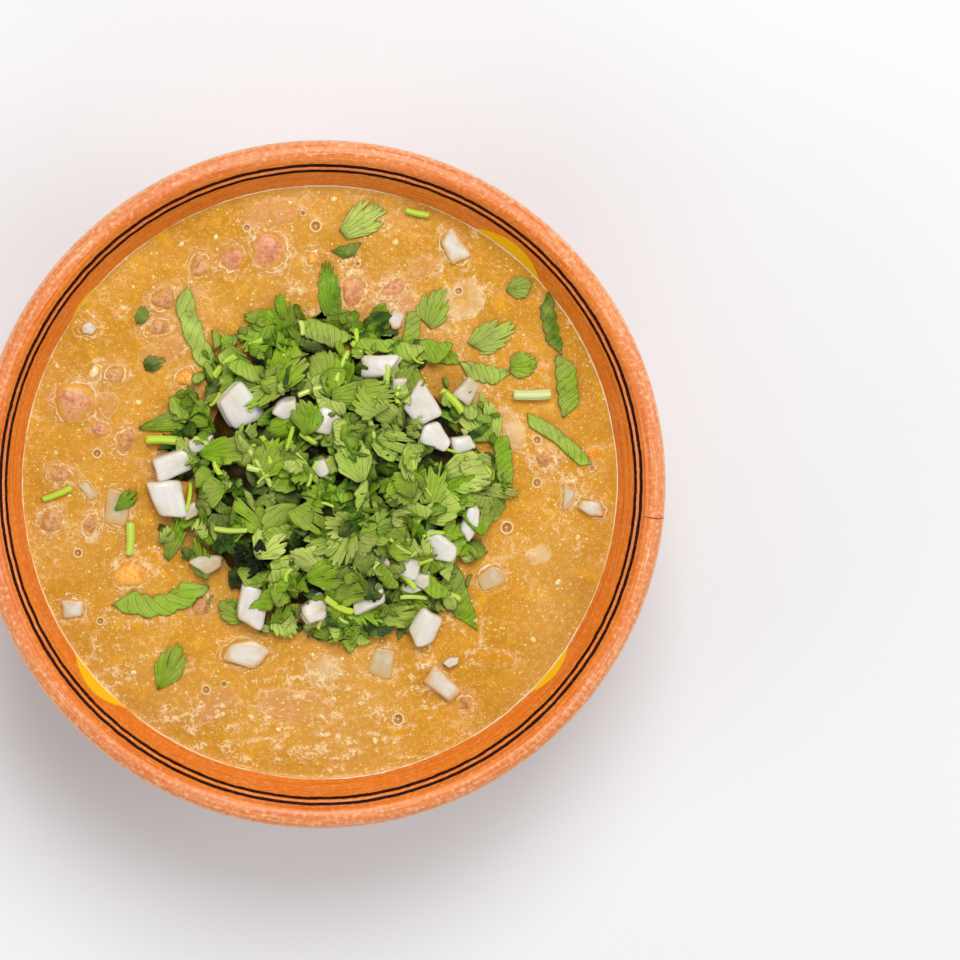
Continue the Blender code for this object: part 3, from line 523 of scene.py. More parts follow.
def cilantro_leaf(colours):
    """Fresh cilantro leaf, cut with a knife: satin, veined like a fan, dark along its edges."""
    material, shader, add = new_material(
        "Cilantro leaf", IOR=1.42, Specular_IOR_Level=0.28, Subsurface_Weight=0.1,
        Subsurface_Radius=(0.0006, 0.0012, 0.0003), Subsurface_Scale=1.0)
    place = add("TexCoord")
    tone, across, span, rim = (
        add("Attribute", attribute_name=name) for name in ("tone", "across", "span", "rim"))
    # Patches of 10 mm between two greens, and of 3 mm between pale and bruised
    slow = add("TexNoise", place, Scale=95.0, Detail=1.0)
    patch = add("TexNoise", place, Scale=330.0, Detail=4.0, Roughness=0.65)
    # A low tone gives the dark leaf colour: painted shade on leaves low in the heap, and bruises in patches
    colour = washed(
        add, colours.leaf_dark,
        (tone, 0.0, 0.5, 1.0, colours.leaf), (tone, 0.55, 1.0, 1.0, colours.leaf_pale),
        (slow, 0.5, 0.64, 0.5, "#8E9648"), (slow, 0.47, 0.36, 0.5, "#7FAE14"),
        (patch, 0.52, 0.74, 0.5, "#AAC244"), (patch, 0.44, 0.3, 0.4, colours.leaf_dark))
    # Veins run out from the stalk: their distance in millimetres is the share of a turn times its span
    veins = None
    for count, half, depth in ((3.0, 0.07, 0.55), (7.5, 0.045, 0.28)):
        ray = add("MULTIPLY_ADD", across, count, 0.5)
        bent = add("MULTIPLY_ADD", patch, 1.1, ray)
        phase = add("FRACT", bent)
        away = add("ABSOLUTE", add("SUBTRACT", phase, 0.5))
        away = add("MULTIPLY", away, span)
        away = add("MULTIPLY", away, 1.0 / count)
        vein = add("MapRange", away, half * 1.6, half * 0.5, 0.0, depth)
        veins = vein if veins is None else add("MAXIMUM", veins, vein)
    colour = add("Mix", veins, colour, "#38541A")
    # Dark cut edges, and leaves that are black with cooking; the same black is painted shade on leaf parts
    # deep in the mound
    colour = washed(add, colour, (rim, 0.24, 0.04, 0.6, "#28400E"), (tone, -0.2, -1.0, 0.9, "#16180C"))
    rough = add("MapRange", patch, 0.3, 0.7, 0.3, 0.52)
    relief = add("MULTIPLY_ADD", veins, -0.5, patch)
    bump = add("Bump", Strength=0.8, Distance=0.0006, Height=relief)
    fill(shader, {"Base Color": colour, "Roughness": rough, "Normal": bump})
    return material


def cilantro_stem(colours):
    """Cut cilantro stem: juicy, ribbed along its length, some stems paler than others."""
    material, shader, add = new_material(
        "Cilantro stem", IOR=1.4, Subsurface_Weight=0.2, Subsurface_Radius=(0.001, 0.0012, 0.0004),
        Subsurface_Scale=1.0)
    place = add("TexCoord")
    around, tone = (add("Attribute", attribute_name=name) for name in ("across", "tone"))
    # Seven ribs round the stem, 44 being seven full turns in radians
    ribs = add("SINE", add("MULTIPLY", around, 44.0))
    patch = add("TexNoise", place, Scale=500.0, Detail=2.0)
    colour = add("Mix", tone, colours.stem, "#D3DCA0")
    colour = washed(add, colour, (ribs, -1.0, 1.0, 0.22, "#7FA025"))
    rough = add("MapRange", patch, 0.0, 1.0, 0.2, 0.4)
    bump = add("Bump", Strength=0.4, Distance=0.0001, Height=ribs)
    fill(shader, {"Base Color": colour, "Roughness": rough, "Normal": bump})
    return material


def raw_onion(colours):
    """Raw white onion: wet translucent flesh with faint layers, greyer where soaked and where shade is
    painted on it, under broth where a die lies low.
    """
    material, shader, add = new_material(
        "Raw white onion", IOR=1.38, Subsurface_Weight=0.45, Subsurface_Radius=(0.0025, 0.0022, 0.0016),
        Subsurface_Scale=1.0)
    place = add("TexCoord")
    soak_and_shade, fibre, film = (add("Attribute", attribute_name=name) for name in ("tone", "across", "film"))
    cloud = add("TexNoise", place, Scale=190.0, Detail=3.0)
    layers = add("SINE", add("MULTIPLY_ADD", cloud, 6.0, fibre))
    mixed = add("MapRange", cloud, 0.35, 0.65, -0.3, 0.3)
    soak_and_shade = add("ADD", soak_and_shade, mixed, use_clamp=True)
    colour = add("Mix", soak_and_shade, colours.onion, colours.onion_wet_and_shaded)
    colour = washed(add, colour, (layers, 0.2, 1.0, 0.16, "#C4BEA8"))
    colour = add("Mix", film, colour, "#D09C48")
    rough = add("MapRange", cloud, 0.0, 1.0, 0.14, 0.34)
    relief = add("MULTIPLY_ADD", layers, 0.04, cloud)
    bump = add("Bump", Strength=0.5, Distance=0.0005, Height=relief)
    fill(shader, {"Base Color": colour, "Roughness": rough, "Normal": bump})
    return material


def cooked_food(name, base, spot, dark, scale, film_tone="#DB9E3C", shine=0.5):
    """Cooked and wet food: mottled flesh with its creases painted darker as shade, under broth where it lies
    low.
    """
    material, shader, add = new_material(
        name, IOR=1.4, Specular_IOR_Level=shine, Subsurface_Weight=0.15,
        Subsurface_Radius=(0.0016, 0.0008, 0.0004), Subsurface_Scale=1.0)
    place = add("TexCoord")
    cloud = add("TexNoise", place, Scale=scale, Detail=5.0, Roughness=0.65)
    fine = add("TexNoise", place, Scale=scale * 4.0, Detail=3.0)
    crease, film = (add("Attribute", attribute_name=each) for each in ("crease", "film"))
    colour = washed(add, base, (cloud, 0.38, 0.62, 1.0, spot))
    # Fine dark mottling, and creases painted darker as shade
    darker = add("MapRange", fine, 0.48, 0.32, 0.0, 0.65)
    darker = add("MAXIMUM", darker, crease)
    colour = add("Mix", darker, colour, dark)
    wash = add("MapRange", cloud, 0.3, 0.7, -0.35, 0.45)
    film = add("ADD", film, wash, use_clamp=True)
    colour = add("Mix", film, colour, film_tone)
    rough = add("MapRange", fine, 0.0, 1.0, 0.2, 0.42)
    bump = add("Bump", Strength=0.6, Distance=0.0003, Height=fine)
    fill(shader, {"Base Color": colour, "Roughness": rough, "Normal": bump})
    return material


# The bowl and the broth

def wall_curve(count):
    """Inside of the bowl from the middle of its floor to just below the lip, as radius and height."""
    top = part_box("bowl")[1].z / MM - LIP_ROUND
    return bezier((30.0, FLOOR_HEIGHT), (62.0, FLOOR_HEIGHT), (74.0, 40.0), (LIP_INNER_RADIUS - 2.0, top),
                  count)


def wall_radius(height):
    """Radius of the inside of the bowl at a height."""
    wall = wall_curve(200)
    return float(np.interp(height, wall[:, 1], wall[:, 0]))


# Foot ring from its outside to its inside, as steps from the foot's radius and heights
FOOT_OUTSIDE = [(0.8, 5.0), (0.0, FOOT_HEIGHT), (0.0, 2.0), (0.0, 0.7), (-0.25, 0.2), (-0.8, 0.0),
                (-3.5, 0.0)]
FOOT_INSIDE = [(0.8, 0.0), (0.2, 0.25), (0.0, 0.8), (-0.4, 2.4), (-1.2, 3.4)]
UNDERSIDE = [(20.0, 3.4), (0.0, 3.4)]


def bowl_section(sizes):
    """The bowl's section as one line from its axis over the lip to its axis again, and its outside share."""
    rim = sizes.rim_radius / MM
    height = sizes.bowl_height / MM
    top = height - LIP_ROUND
    inside = wall_curve(60)
    start = np.column_stack([np.linspace(0.0, 29.0, 8), np.full(8, FLOOR_HEIGHT)])
    shoulder = bezier(inside[-1], (87.3, 67.6), (87.9, 67.9), (LIP_INNER_RADIUS, height - 1.9), 8)[1:]
    turns = np.radians(np.linspace(150.0, 0.0, 20))
    lip = np.column_stack([rim - LIP_ROUND + LIP_ROUND * np.cos(turns), top + LIP_ROUND * np.sin(turns)])
    outside = bezier((rim - 0.1, top - 1.0), (90.0, 42.0), (80.0, 12.0), (FOOT_RADIUS + 3.0, 6.0), 46)
    foot = np.concatenate([np.array(FOOT_OUTSIDE) + (FOOT_RADIUS, 0.0),
                           np.array(FOOT_INSIDE) + (FOOT_RADIUS - FOOT_WIDTH, 0.0), UNDERSIDE])
    line = np.concatenate([start, inside, shoulder, lip, outside, foot])
    bare = len(outside) + len(foot) + 1
    share = np.concatenate([np.zeros(len(line) - bare), np.clip(np.arange(bare) / 5.0, 0.0, 1.0)])
    return line, share


# Points round the bowl
BOWL_TURNS = 288


class SOUP_OT_bowl(bpy.types.Operator):
    """Turns the terracotta bowl with its wheel rings, lip and foot"""
    bl_idname = "soup.bowl"
    bl_label = "Terracotta bowl"

    def execute(self, context):
        """Each point of the section goes round Z, its radius lowered a little by rings of noise."""
        sizes, colours = context.scene.soup_sizes, context.scene.soup_colours
        line, outside = bowl_section(sizes)
        turns = round_grid(2, BOWL_TURNS)[1]
        radius, height = line[:, :1], line[:, 1:]
        travel = np.arange(len(line))[:, None]
        rings = (lattice_noise(travel, np.cos(turns) * 3.0, 1.7, 3)
                 + lattice_noise(travel, np.sin(turns) * 3.0, 3.1, 4))
        spread = radius - 0.05 * (2.0 + rings) * np.clip(radius / 60.0, 0.0, 1.0) * (height > 8.0)
        points = np.stack([spread * np.cos(turns), spread * np.sin(turns), height + 0.0 * turns], -1)
        bowl = Surfaces()
        bowl.grid(points, round_columns=True, outside=outside[:, None] + 0.0 * turns)
        bowl.piece("terracotta_bowl", turned_terracotta(sizes, colours), ["bowl"], weld=True)
        return {"FINISHED"}


Place = namedtuple("Place", "x y length width top turn")


def measured(name):
    """Where a node lies and how large it is from above, from its own points and their main axis."""
    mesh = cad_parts[name].data
    points = np.empty(len(mesh.vertices) * 3)
    mesh.vertices.foreach_get("co", points)
    points = points.reshape(-1, 3) / MM
    flat = points[:, :2]
    middle = (flat.max(0) + flat.min(0)) / 2
    axes = np.linalg.eigh(np.cov((flat - middle).T))[1]
    spans = [np.ptp((flat - middle) @ axes[:, column]) for column in (1, 0)]
    return Place(*middle, *spans, points[:, 2].max(), math.atan2(axes[1, 1], axes[0, 1]))


def distance_to(place, x, y, grow=0.0):
    """Signed distance in millimetres to an ellipse on the surface, below zero inside it."""
    along, across = turned(x - place.x, y - place.y, -place.turn)
    long_half, short_half = place.length / 2 + grow, place.width / 2 + grow
    share = np.sqrt((along / long_half) ** 2 + (across / short_half) ** 2)
    return (share - 1.0) * math.sqrt(long_half * short_half)


def nearest(places, x, y, grow=0.0):
    """Distance to the nearest of several ellipses, or FAR."""
    return np.minimum.reduce([distance_to(place, x, y, grow) for place in places] + [np.full(x.shape, FAR)])


Bubble = namedtuple("Bubble", "x y radius")
BUBBLES = [Bubble(*row) for row in (
    (-1.5, 71.5, 1.5), (38, 53.5, 1.2), (-62, 9, 1.2), (-67.5, -18.5, 1.2), (-61.5, -37.5, 1),
    (-32.5, -57, 1.2), (21, -66, 1.6), (60, 0, 1.3), (-27.5, -55.5, 0.9), (75.5, 4, 0.9), (-20.5, 71, 1),
    (51.5, -12.5, 1.7), (-5, 75, 0.8), (10, 61, 0.8), (60, 12, 1.2),
)]

# Seeds on the surface, as the solids have them
SEEDS = [
    (-38.5, 66.5), (-29, 68.5), (-54.5, 49), (-8.5, 78), (3.5, 79), (20.5, 67), (-52.5, -52),
    (-12.5, -68.5), (14.5, -72), (66, -28), (71.5, -15.5), (42.5, -38.5), (-50.5, 23), (59, -44), (3, -60),
]

# Shapes that lie just under the surface, as rows of Place, by the colour that shows through
SUNK = {
    "pink": [
        (-14, 75, 19, 8, 0, 0.1), (-35, 54.8, 5, 3.8, 0, 0.2), (-47.5, 36.5, 5.5, 4.4, 0, 0),
        (-41, 38, 9, 6, 0, 0.6), (24.5, 50, 13, 6, 0, -0.3), (12, 46, 12, 7, 0, 0.3),
        (-45, 6, 10, 6, 0, 0.1), (-30, -61, 14, 9, 0, 0.2), (-8, -62, 22, 9, 0, -0.1),
        (28, 60, 9, 6, 0, 0.2), (-60, 22, 8, 6, 0, 0.5),
    ],
    "pale": [
        (38.5, 50.5, 13, 10, 0, 0.4), (44, 25.5, 7, 5, 0, 1), (53.5, 14.5, 12, 5.5, 0, -1.1),
        (0, -52, 10, 8, 0, 0.3), (61, -20, 6, 5, 0, 0),
    ],
    "orange": [
        (47.5, -49, 13, 5, 0, -0.1), (-51, -22.5, 14, 9, 0, 0.4), (-56, 48, 4, 3, 0, 0),
        (76, 8, 4, 3, 0, 0), (62, 32.5, 3.4, 2.6, 0, 0.3),
    ],
}


# How far the broth climbs the wall, the points along each side of its grid, and how much the grid
# crowds towards its edge
MENISCUS = 0.75
BROTH_GRID = 300
CROWDING = 0.45
# Depths of the rings that close the broth under its surface, from its edge down to the middle
SKIRT_DEPTHS = (-3.0, -12.0, -26.0, -38.0, -46.0)


def broth_height(x, y):
    """Height of the broth before its edges: its level plus slow waves and pulp of two sizes."""
    return (SOUP_LEVEL + 0.16 * lattice_noise(x, y, 11.0, 21) + 0.07 * lattice_noise(x, y, 3.0, 22)
            + 0.05 * lattice_noise(x, y, 1.1, 23))


class SOUP_OT_broth(bpy.types.Operator):
    """Fills the bowl with broth: waves, menisci, bubbles, foam and painted glints"""
    bl_idname = "soup.broth"
    bl_label = "Broth"

    def execute(self, context):
        """A square grid bent to a disc and crowded to its edge, with a height and distances at each point."""
        colours = context.scene.soup_colours
        edge = wall_radius(SOUP_LEVEL + MENISCUS) + 0.25
        side = np.linspace(-1, 1, BROTH_GRID)
        a, b = np.meshgrid(side + 1e-9, side + 2e-9, indexing="ij")
        wide = np.abs(a) > np.abs(b)
        reach = np.where(wide, a, b)
        turn = np.where(wide, math.pi / 4 * b / a, math.pi / 2 - math.pi / 4 * a / b)
        size = np.abs(reach)
        reach = np.sign(reach) * edge * ((1.0 + CROWDING) * size - CROWDING * size ** 2)
        x, y = reach * np.cos(turn), reach * np.sin(turn)
        from_wall = edge - np.hypot(x, y)
        height = broth_height(x, y) + MENISCUS * np.exp(-np.maximum(from_wall - 0.25, 0.0) / 0.7)
        near_piece = nearest([measured(name) for name in nodes_named(*RESTING)], x, y, -0.4)
        height += 0.35 * np.exp(-np.abs(near_piece) / 0.8) - 0.5 * smooth_step(0.0, -1.2, near_piece)
        ragged = 0.6 * lattice_noise(x, y, 2.2, 33) + 0.4 * lattice_noise(x, y, 1.1, 34)
        stained = nearest([measured(name) for name in nodes_named("bean", "meat")], x, y) + 1.4 * ragged
        near_piece = near_piece - 0.25 + ragged
        near_sunk = np.full(x.shape, FAR)
        below = {kind: np.zeros(x.shape) for kind in SUNK}
        below["pink"] += 0.55 * smooth_step(3.2, 0.4, stained)
        uneven = 0.9 * lattice_noise(x, y, 2.6, 31) + 0.5 * lattice_noise(x, y, 1.2, 32)
        for kind, rows in SUNK.items():
            for row in rows:
                away = distance_to(Place(*row), x, y) + uneven
                near_sunk = np.minimum(near_sunk, away)
                below[kind] = np.maximum(below[kind], smooth_step(0.7, -1.2, away))
        height += 0.22 * smooth_step(0.4, -1.0, near_sunk)
        near_bubble = np.minimum.reduce([np.full(x.shape, FAR)] + [
            1.2 * (np.hypot(x - bubble.x, y - bubble.y) / bubble.radius - 1.0) for bubble in BUBBLES])
        height += 0.3 * np.exp(-(near_bubble / 0.35) ** 2) - 0.3 * smooth_step(0.0, -0.8, near_bubble)
        # Flecks drawn out sideways over the low part: painted glints of light on its ripples, carried with
        # the foam
        streaks = lattice_noise(x * 0.35, y, 1.1, 41) + 0.7 * lattice_noise(x * 0.4, y, 2.4, 42)
        low_part = smooth_step(-44.0, -56.0, y + 4.0 * lattice_noise(x, y, 9.0, 43))
        low_part = low_part * smooth_step(46.0, 30.0, x)
        patches = lattice_noise(x, y, 9.0, 44) + 0.6 * lattice_noise(x, y, 3.0, 45)
        froth_and_glints = np.maximum.reduce([
            smooth_step(0.2, 0.65, streaks) * low_part,
            0.8 * smooth_step(0.55, 1.1, patches),
            0.85 * smooth_step(3.0, 0.3, near_piece) * smooth_step(-0.5, 0.5, patches),
            0.75 * smooth_step(1.5, 0.1, np.abs(near_sunk)) * smooth_step(-0.4, 0.5, patches)])
        height += 0.12 * froth_and_glints
        surface = np.stack([x, y, height], -1)
        broth = Surfaces()
        values = {"near_piece": near_piece, "near_sunk": near_sunk, "near_bubble": near_bubble,
                  "near_wall": from_wall, "froth_and_glints": froth_and_glints, **below}
        broth.grid(surface, **values)
        ring = np.concatenate([surface[0, :-1], surface[:-1, -1], surface[-1, :0:-1], surface[:0:-1, 0]])
        radii = [wall_radius(SOUP_LEVEL + depth) - 0.4 for depth in SKIRT_DEPTHS[:-1]] + [0.0]
        outward = ring[:, :2] / np.linalg.norm(ring[:, :2], axis=1)[:, None]
        skirt = [ring] + [np.column_stack([outward * radius, np.full(len(ring), SOUP_LEVEL + depth)])
                          for radius, depth in zip(radii, SKIRT_DEPTHS)]
        still = {name: FAR if name.startswith("near") else 0.0 for name in values}
        broth.grid(np.stack(skirt)[::-1], round_columns=True, **still)
        broth.piece("bean_broth", thick_broth(colours), ["soup"], weld=True)
        return {"FINISHED"}


# Pieces half sunk in the broth

def lump(place, depth, seed, rough, bend=0.0, rows=18, columns=32):
    """Ellipsoid over latitude and longitude, flattened on top, bent sideways and roughened by noise."""
    tilt, around = round_grid(rows, columns)
    half = (place.top - SOUP_LEVEL + depth) / 2
    spread = np.sin(tilt) ** 0.75
    uneven = (1.0 + 0.07 * np.sin(2 * around + seed) + 0.06 * np.sin(3 * around + 2.3 * seed)
              + 0.03 * np.sin(5 * around + 1.7 * seed))
    x = place.length / 2 * spread * uneven * np.cos(around)
    y = place.width / 2 * spread * uneven * np.sin(around)
    noise = lattice_noise(x + 31 * seed, y, 1.5, seed) + 0.6 * lattice_noise(x, y + 17 * seed, 0.8, seed + 1)
    y = y + bend * (x * x / place.length - place.length / 12)
    z = half * np.cos(tilt) * np.abs(np.cos(tilt)) ** 0.2 + rough * noise * np.sin(tilt) ** 0.4
    z = np.where(tilt < 1e-6, half, z) + 0.0 * around
    # Dips of the noise are painted darker: shade in the creases
    crease = np.clip(-noise * 0.8, 0.0, 0.8) * (z > 0)
    film = np.clip((half - z) / 1.1, 0.0, 1.0)
    x, y = turned(x, y, place.turn)
    points = np.stack([place.x + x, place.y + y, np.minimum(place.top - half + z, place.top)], -1)
    return points, {"crease": crease, "film": film}


# The higher this is, the sharper a die's corners
CORNER_POWER = 10


def chopped(length, width, height, bow, chance, rows=14, columns=44):
    """Chopped slab: over angle a rounded polygon of four or five sides, over height a superellipse.

    The polygon's radius is the p-norm of the cosines to its sides over their distances, upside down.
    Its middle is bowed up like a layer of an onion.  Returns the points and how far out each one lies.
    """
    tilt, around = round_grid(rows, columns)
    sides = chance.integers(4, 6)
    outline = 0.0
    for side in range(sides):
        heading = 2 * math.pi * side / sides + chance.uniform(-0.3, 0.3)
        facing = np.maximum(np.cos(around - heading), 0.0) / chance.uniform(0.8, 1.1)
        outline = outline + facing ** CORNER_POWER
    radius = outline ** (-1.0 / CORNER_POWER) * (1.0 + 0.04 * np.sin(3.0 * around + chance.uniform(0.0, 6.0)))
    x, y = radius * np.cos(around), radius * np.sin(around)
    spread = np.sin(tilt) ** 0.3
    x = x * length / np.ptp(x) * spread
    y = y * width / np.ptp(y) * spread
    dent = 0.05 * height * lattice_noise(x + 7.0 * sides, y, 2.2, 65)
    z = height / 2 * np.sign(np.cos(tilt)) * np.abs(np.cos(tilt)) ** 0.4 + dent * np.sin(tilt) ** 0.2
    return np.stack([x, y, z + bow * (1.0 - (2.0 * y / width) ** 2)], -1), spread + 0.0 * around


def posed(points, x, y, z, turn, tilt=0.0, lean=0.0):
    """Local points turned about Z after a tilt about X and a lean about Y, and moved to a place."""
    pose = Matrix.Rotation(turn, 3, "Z") @ Matrix.Rotation(tilt, 3, "X") @ Matrix.Rotation(lean, 3, "Y")
    return points @ np.array(pose).T + np.array([x, y, z])


# How soaked and grey the loose dice are
SOAKED = {"onion_02": 0.35, "onion_03": 0.55, "onion_04": 0.85, "onion_05": 0.3, "onion_09": 0.7,
          "onion_10": 0.8, "onion_11": 0.8, "onion_12": 0.25}


class SOUP_OT_loose_onion(bpy.types.Operator):
    """Lays the loose onion dice in the broth"""
    bl_idname = "soup.loose_onion"
    bl_label = "Loose onion"

    def execute(self, context):
        """Each die is a bowed slab the size of its node, white in its middle and under broth at its edge."""
        onion = Surfaces()
        chance = np.random.default_rng(95)
        for name in nodes_named("onion"):
            place = measured(name)
            height = place.top - SOUP_LEVEL + 2.0
            shape, out = chopped(place.length, place.width * 0.97, height * 0.8, 0.12 * height, chance)
            points = posed(shape, place.x, place.y, place.top - 0.5 * height, place.turn)
            points[..., 2] = np.minimum(points[..., 2], place.top)
            sunk = smooth_step(0.5, 0.98, out + 0.12 * lattice_noise(points[..., 0], points[..., 1], 1.6, 66))
            low = smooth_step(place.top - 0.2, SOUP_LEVEL + 0.1, points[..., 2])
            onion.grid(points, round_columns=True, tone=SOAKED.get(name, 0.0) + 0.7 * sunk,
                       across=shape[..., 1] * 3.0, film=np.clip(0.75 * sunk + low, 0.0, 0.9))
        material = raw_onion(context.scene.soup_colours)
        onion.piece("loose_onion", material, nodes_named("onion"), weld=True)
        return {"FINISHED"}


class SOUP_OT_beans_and_meat(bpy.types.Operator):
    """Lays beans, meat, squash and the kernel in the broth"""
    bl_idname = "soup.beans_and_meat"
    bl_label = "Beans and meat"

    def execute(self, context):
        """Each kind is one mesh of lumps that fit their nodes; last come how rough and bent they are."""
        colours = context.scene.soup_colours
        kinds = {
            "bean": ("cooked_beans", "Cooked bean", colours.bean, "#DAA676", "#8A4A2A", 520.0, 0.26, 0.9),
            "meat": ("cooked_meat", "Cooked meat", colours.meat, "#DDA280", "#98583C", 300.0, 0.4, 0.3),
            "squash": ("cooked_squash", "Cooked squash", colours.squash, "#F4C05A", "#C8641A", 360.0,
                       0.22, 0.2),
            "kernel": ("kernel_seed", "Cooked kernel", "#F2E2A8", "#FAF0CC", "#D9B55E", 300.0, 0.05, 0.0),
        }
        for kind, (name, *look, rough, bend) in kinds.items():
            lumps = Surfaces()
            for number, node in enumerate(nodes_named(kind)):
                place = measured(node)
                place = place._replace(length=1.08 * place.length, width=1.08 * place.width)
                points, values = lump(place, 3.4, number + 3, rough, bend * (-1) ** number)
                lumps.grid(points, round_columns=True, **values)
            lumps.piece(name, cooked_food(*look), nodes_named(kind), weld=True)
        return {"FINISHED"}


# Leaves and stems

def leaf_fan(size, spread, chance, rows, columns):
    """Fan-shaped leaf piece: radius over angle is an envelope, less two notches and small pointed teeth.

    Two straight knife cuts, one across the tip and one across the stalk, limit the radius: a line's
    distance over the cosine of the angle to it.  Returns the flat grid and its values for the shader.
    """
    share = np.linspace(-1.0, 1.0, rows)[:, None]
    turn = share * spread
    outer = 1.0 - 0.3 * np.abs(share) ** 2.2
    notch, width = chance.uniform(0.05, 0.5), chance.uniform(0.03, 0.07)
    outer = outer * (1.0 - notch * np.exp(-((np.abs(share) - chance.uniform(0.3, 0.42)) / width) ** 2))
    teeth, phase = chance.uniform(3.0, 5.0), chance.uniform(0.0, 3.0)
    jagged = 1.0 - np.abs(np.cos(math.pi * teeth * share + phase)) ** 0.7
    outer = outer * (1.0 - chance.uniform(0.1, 0.24) * jagged)
    tip = np.maximum(np.cos(turn - chance.uniform(-0.8, 0.8)), 0.05)
    outer = np.minimum(outer, chance.uniform(0.72, 1.0) / tip)
    stalk = np.maximum(np.cos(turn - chance.uniform(-0.3, 0.3)), 0.3)
    inner = np.minimum(chance.uniform(0.03, 0.3) / stalk, 0.7 * outer)
    along = np.linspace(0.0, 1.0, columns)[None, :]
    radius = size * (inner + (outer - inner) * along)
    deep = size * (outer - inner)
    rim = np.minimum(np.minimum(1.0 - along, along) * deep, (1.0 - np.abs(share)) * radius * spread)
    values = {"across": share + 0.0 * along, "span": radius * spread, "rim": rim}
    return radius * np.cos(turn), radius * np.sin(turn), values


def leaf_strip(length, width, bend, chance, rows, columns):
    """Cut strip: a middle line of constant curvature, its half width waved by teeth on both sides."""
    share = np.linspace(0.0, 1.0, rows)[:, None]
    side = np.linspace(-1.0, 1.0, columns)[None, :]
    direction = bend * (share - 0.5)
    step = length / (rows - 1)
    middle_x = np.cumsum(np.cos(direction), 0) * step
    middle_y = np.cumsum(np.sin(direction), 0) * step
    teeth, ragged = chance.uniform(2.0, 5.0), chance.uniform(0.1, 0.35)
    phase = chance.uniform(0.5, 2.5)
    wave = 1.0 - ragged * (1.0 - np.abs(np.cos(math.pi * teeth * share + phase * np.sign(side))) ** 0.7)
    slant = chance.uniform(-0.5, 0.5) * width
    half = width / 2 * wave * (1.0 - 0.3 * np.abs(2.0 * share - 1.0) ** 6)
    reach = middle_x - middle_x.mean() + slant * side * (2.0 * share - 1.0) ** 3
    x = reach - side * half * np.sin(direction)
    y = middle_y - middle_y.mean() + side * half * np.cos(direction)
    rim = np.minimum((1.0 - np.abs(side)) * half, np.minimum(share, 1.0 - share) * length)
    return x, y, {"across": side * 0.3 + 2.4 * share, "span": length / 2.4 + 0.0 * rim, "rim": rim}


def curled(x, y, curl_long, curl_across, ruffle, chance, size):
    """Bends a flat leaf over two cylinders, ruffles it towards its edge and crinkles it all over."""
    out = np.hypot(x, y) / size
    waves, phase, place = chance.uniform(3.0, 7.0), chance.uniform(0.0, 6.0), chance.uniform(0.0, 90.0)
    z = ruffle * size * out ** 2 * np.sin(waves * np.arctan2(y, x + 0.3 * size) + phase)
    z = z + 0.2 * lattice_noise(x + place, y, 1.9, 63) + 0.12 * lattice_noise(x, y + place, 0.9, 64)
    for axis, bend in ((0, curl_long), (1, curl_across)):
        rate = bend / size
        if abs(rate) > 1e-6:
            run = (x, y)[axis]
            bent = np.sin(rate * run) / rate
            z = z + (1.0 - np.cos(rate * run)) / rate
            x, y = (bent, y) if axis == 0 else (x, bent)
    return np.stack([x, y, z], -1)


# Share of the heap's reach past which a piece lies at its edge
HEAP_EDGE = 0.85


def heap_reach(turn):
    """Reach of the heap in a direction in radians, straight between the given directions."""
    return np.interp(np.degrees(turn) % 360.0, [*HEAP_REACH, 360.0], [*HEAP_REACH.values(), HEAP_REACH[0]])


def heap_share(x, y):
    """Distance from the heap's middle as a share of its reach in that direction."""
    return np.hypot(x - HEAP_X, y - HEAP_Y) / heap_reach(np.arctan2(y - HEAP_Y, x - HEAP_X))


def heap_place(chance, widest):
    """A seeded place on the heap, evenly spread over its area out to the widest share of its reach."""
    turn = chance.uniform(0.0, 2 * math.pi)
    share = math.sqrt(chance.uniform(0.0, 1.0)) * widest * float(heap_reach(turn))
    return HEAP_X + share * math.cos(turn), HEAP_Y + share * math.sin(turn)


def heap_top(x, y, height):
    """Height of the mound: a dome over the share of its reach, with lumps of two sizes."""
    share = np.clip(heap_share(x, y), 0.0, 1.0)
    rough = 1.1 * lattice_noise(x, y, 8.0, 51) + 0.6 * lattice_noise(x, y, 4.0, 52)
    dome = SOUP_LEVEL + 0.3 + height * (1.0 - share ** 2) ** 0.75
    return dome + rough * np.minimum(1.0, 3.0 * (1.0 - share))


Leaf = namedtuple("Leaf", "x y length width turn bend kind tone")

# Loose leaves on the broth, with how pale each is: the solids have all but the last three shreds
LOOSE_LEAVES = [Leaf(*row) for row in (
    (-35, 42.5, 23, 5.8, -70, 24, "strip", 0.85), (11.5, 73.2, 14, 9.5, 35, 0, "blade", 0.95),
    (7.2, 64.6, 6.4, 3.6, 15, 0, "strip", 0.2), (2, 54.5, 15.5, 6.4, 95, 10, "fan", 0.25),
    (55, 54.5, 7.6, 6.4, 10, 0, "fan", 0.7), (47.5, 41, 14.4, 8.6, 28, 0, "fan", 0.85),
    (45, 30.6, 11.5, 5.4, -12, 0, "strip", 0.85), (56, 33, 8.2, 7.6, 10, 0, "fan", 0.6),
    (63.6, 44.4, 15, 4.6, -78, 8, "strip", 0.2), (68.4, 27.2, 15, 6.2, -84, 0, "strip", 0.6),
    (66, 12, 21, 3.8, -38, -26, "strip", 0.75), (-54.2, -4, 8, 4.6, 42, 0, "blade", 0.4),
    (-42.5, -50.5, 14, 8, 62, 0, "fan", 0.5), (31, 49, 12, 9, 70, 0, "fan", 0.65),
    (-44.6, -31.8, 23, 6.4, 10, 88, "strip", 0.65), (-46, 34, 6.2, 4.6, 20, 0, "fan", 0.05),
    (-49.4, 47, 5.2, 3.6, 65, 0, "fan", 0.2), (8.8, 45.6, 5, 2.6, 70, 0, "strip", 0.45),
    (15.8, 47.8, 5, 3.8, 20, 0, "fan", 0.55),
)]

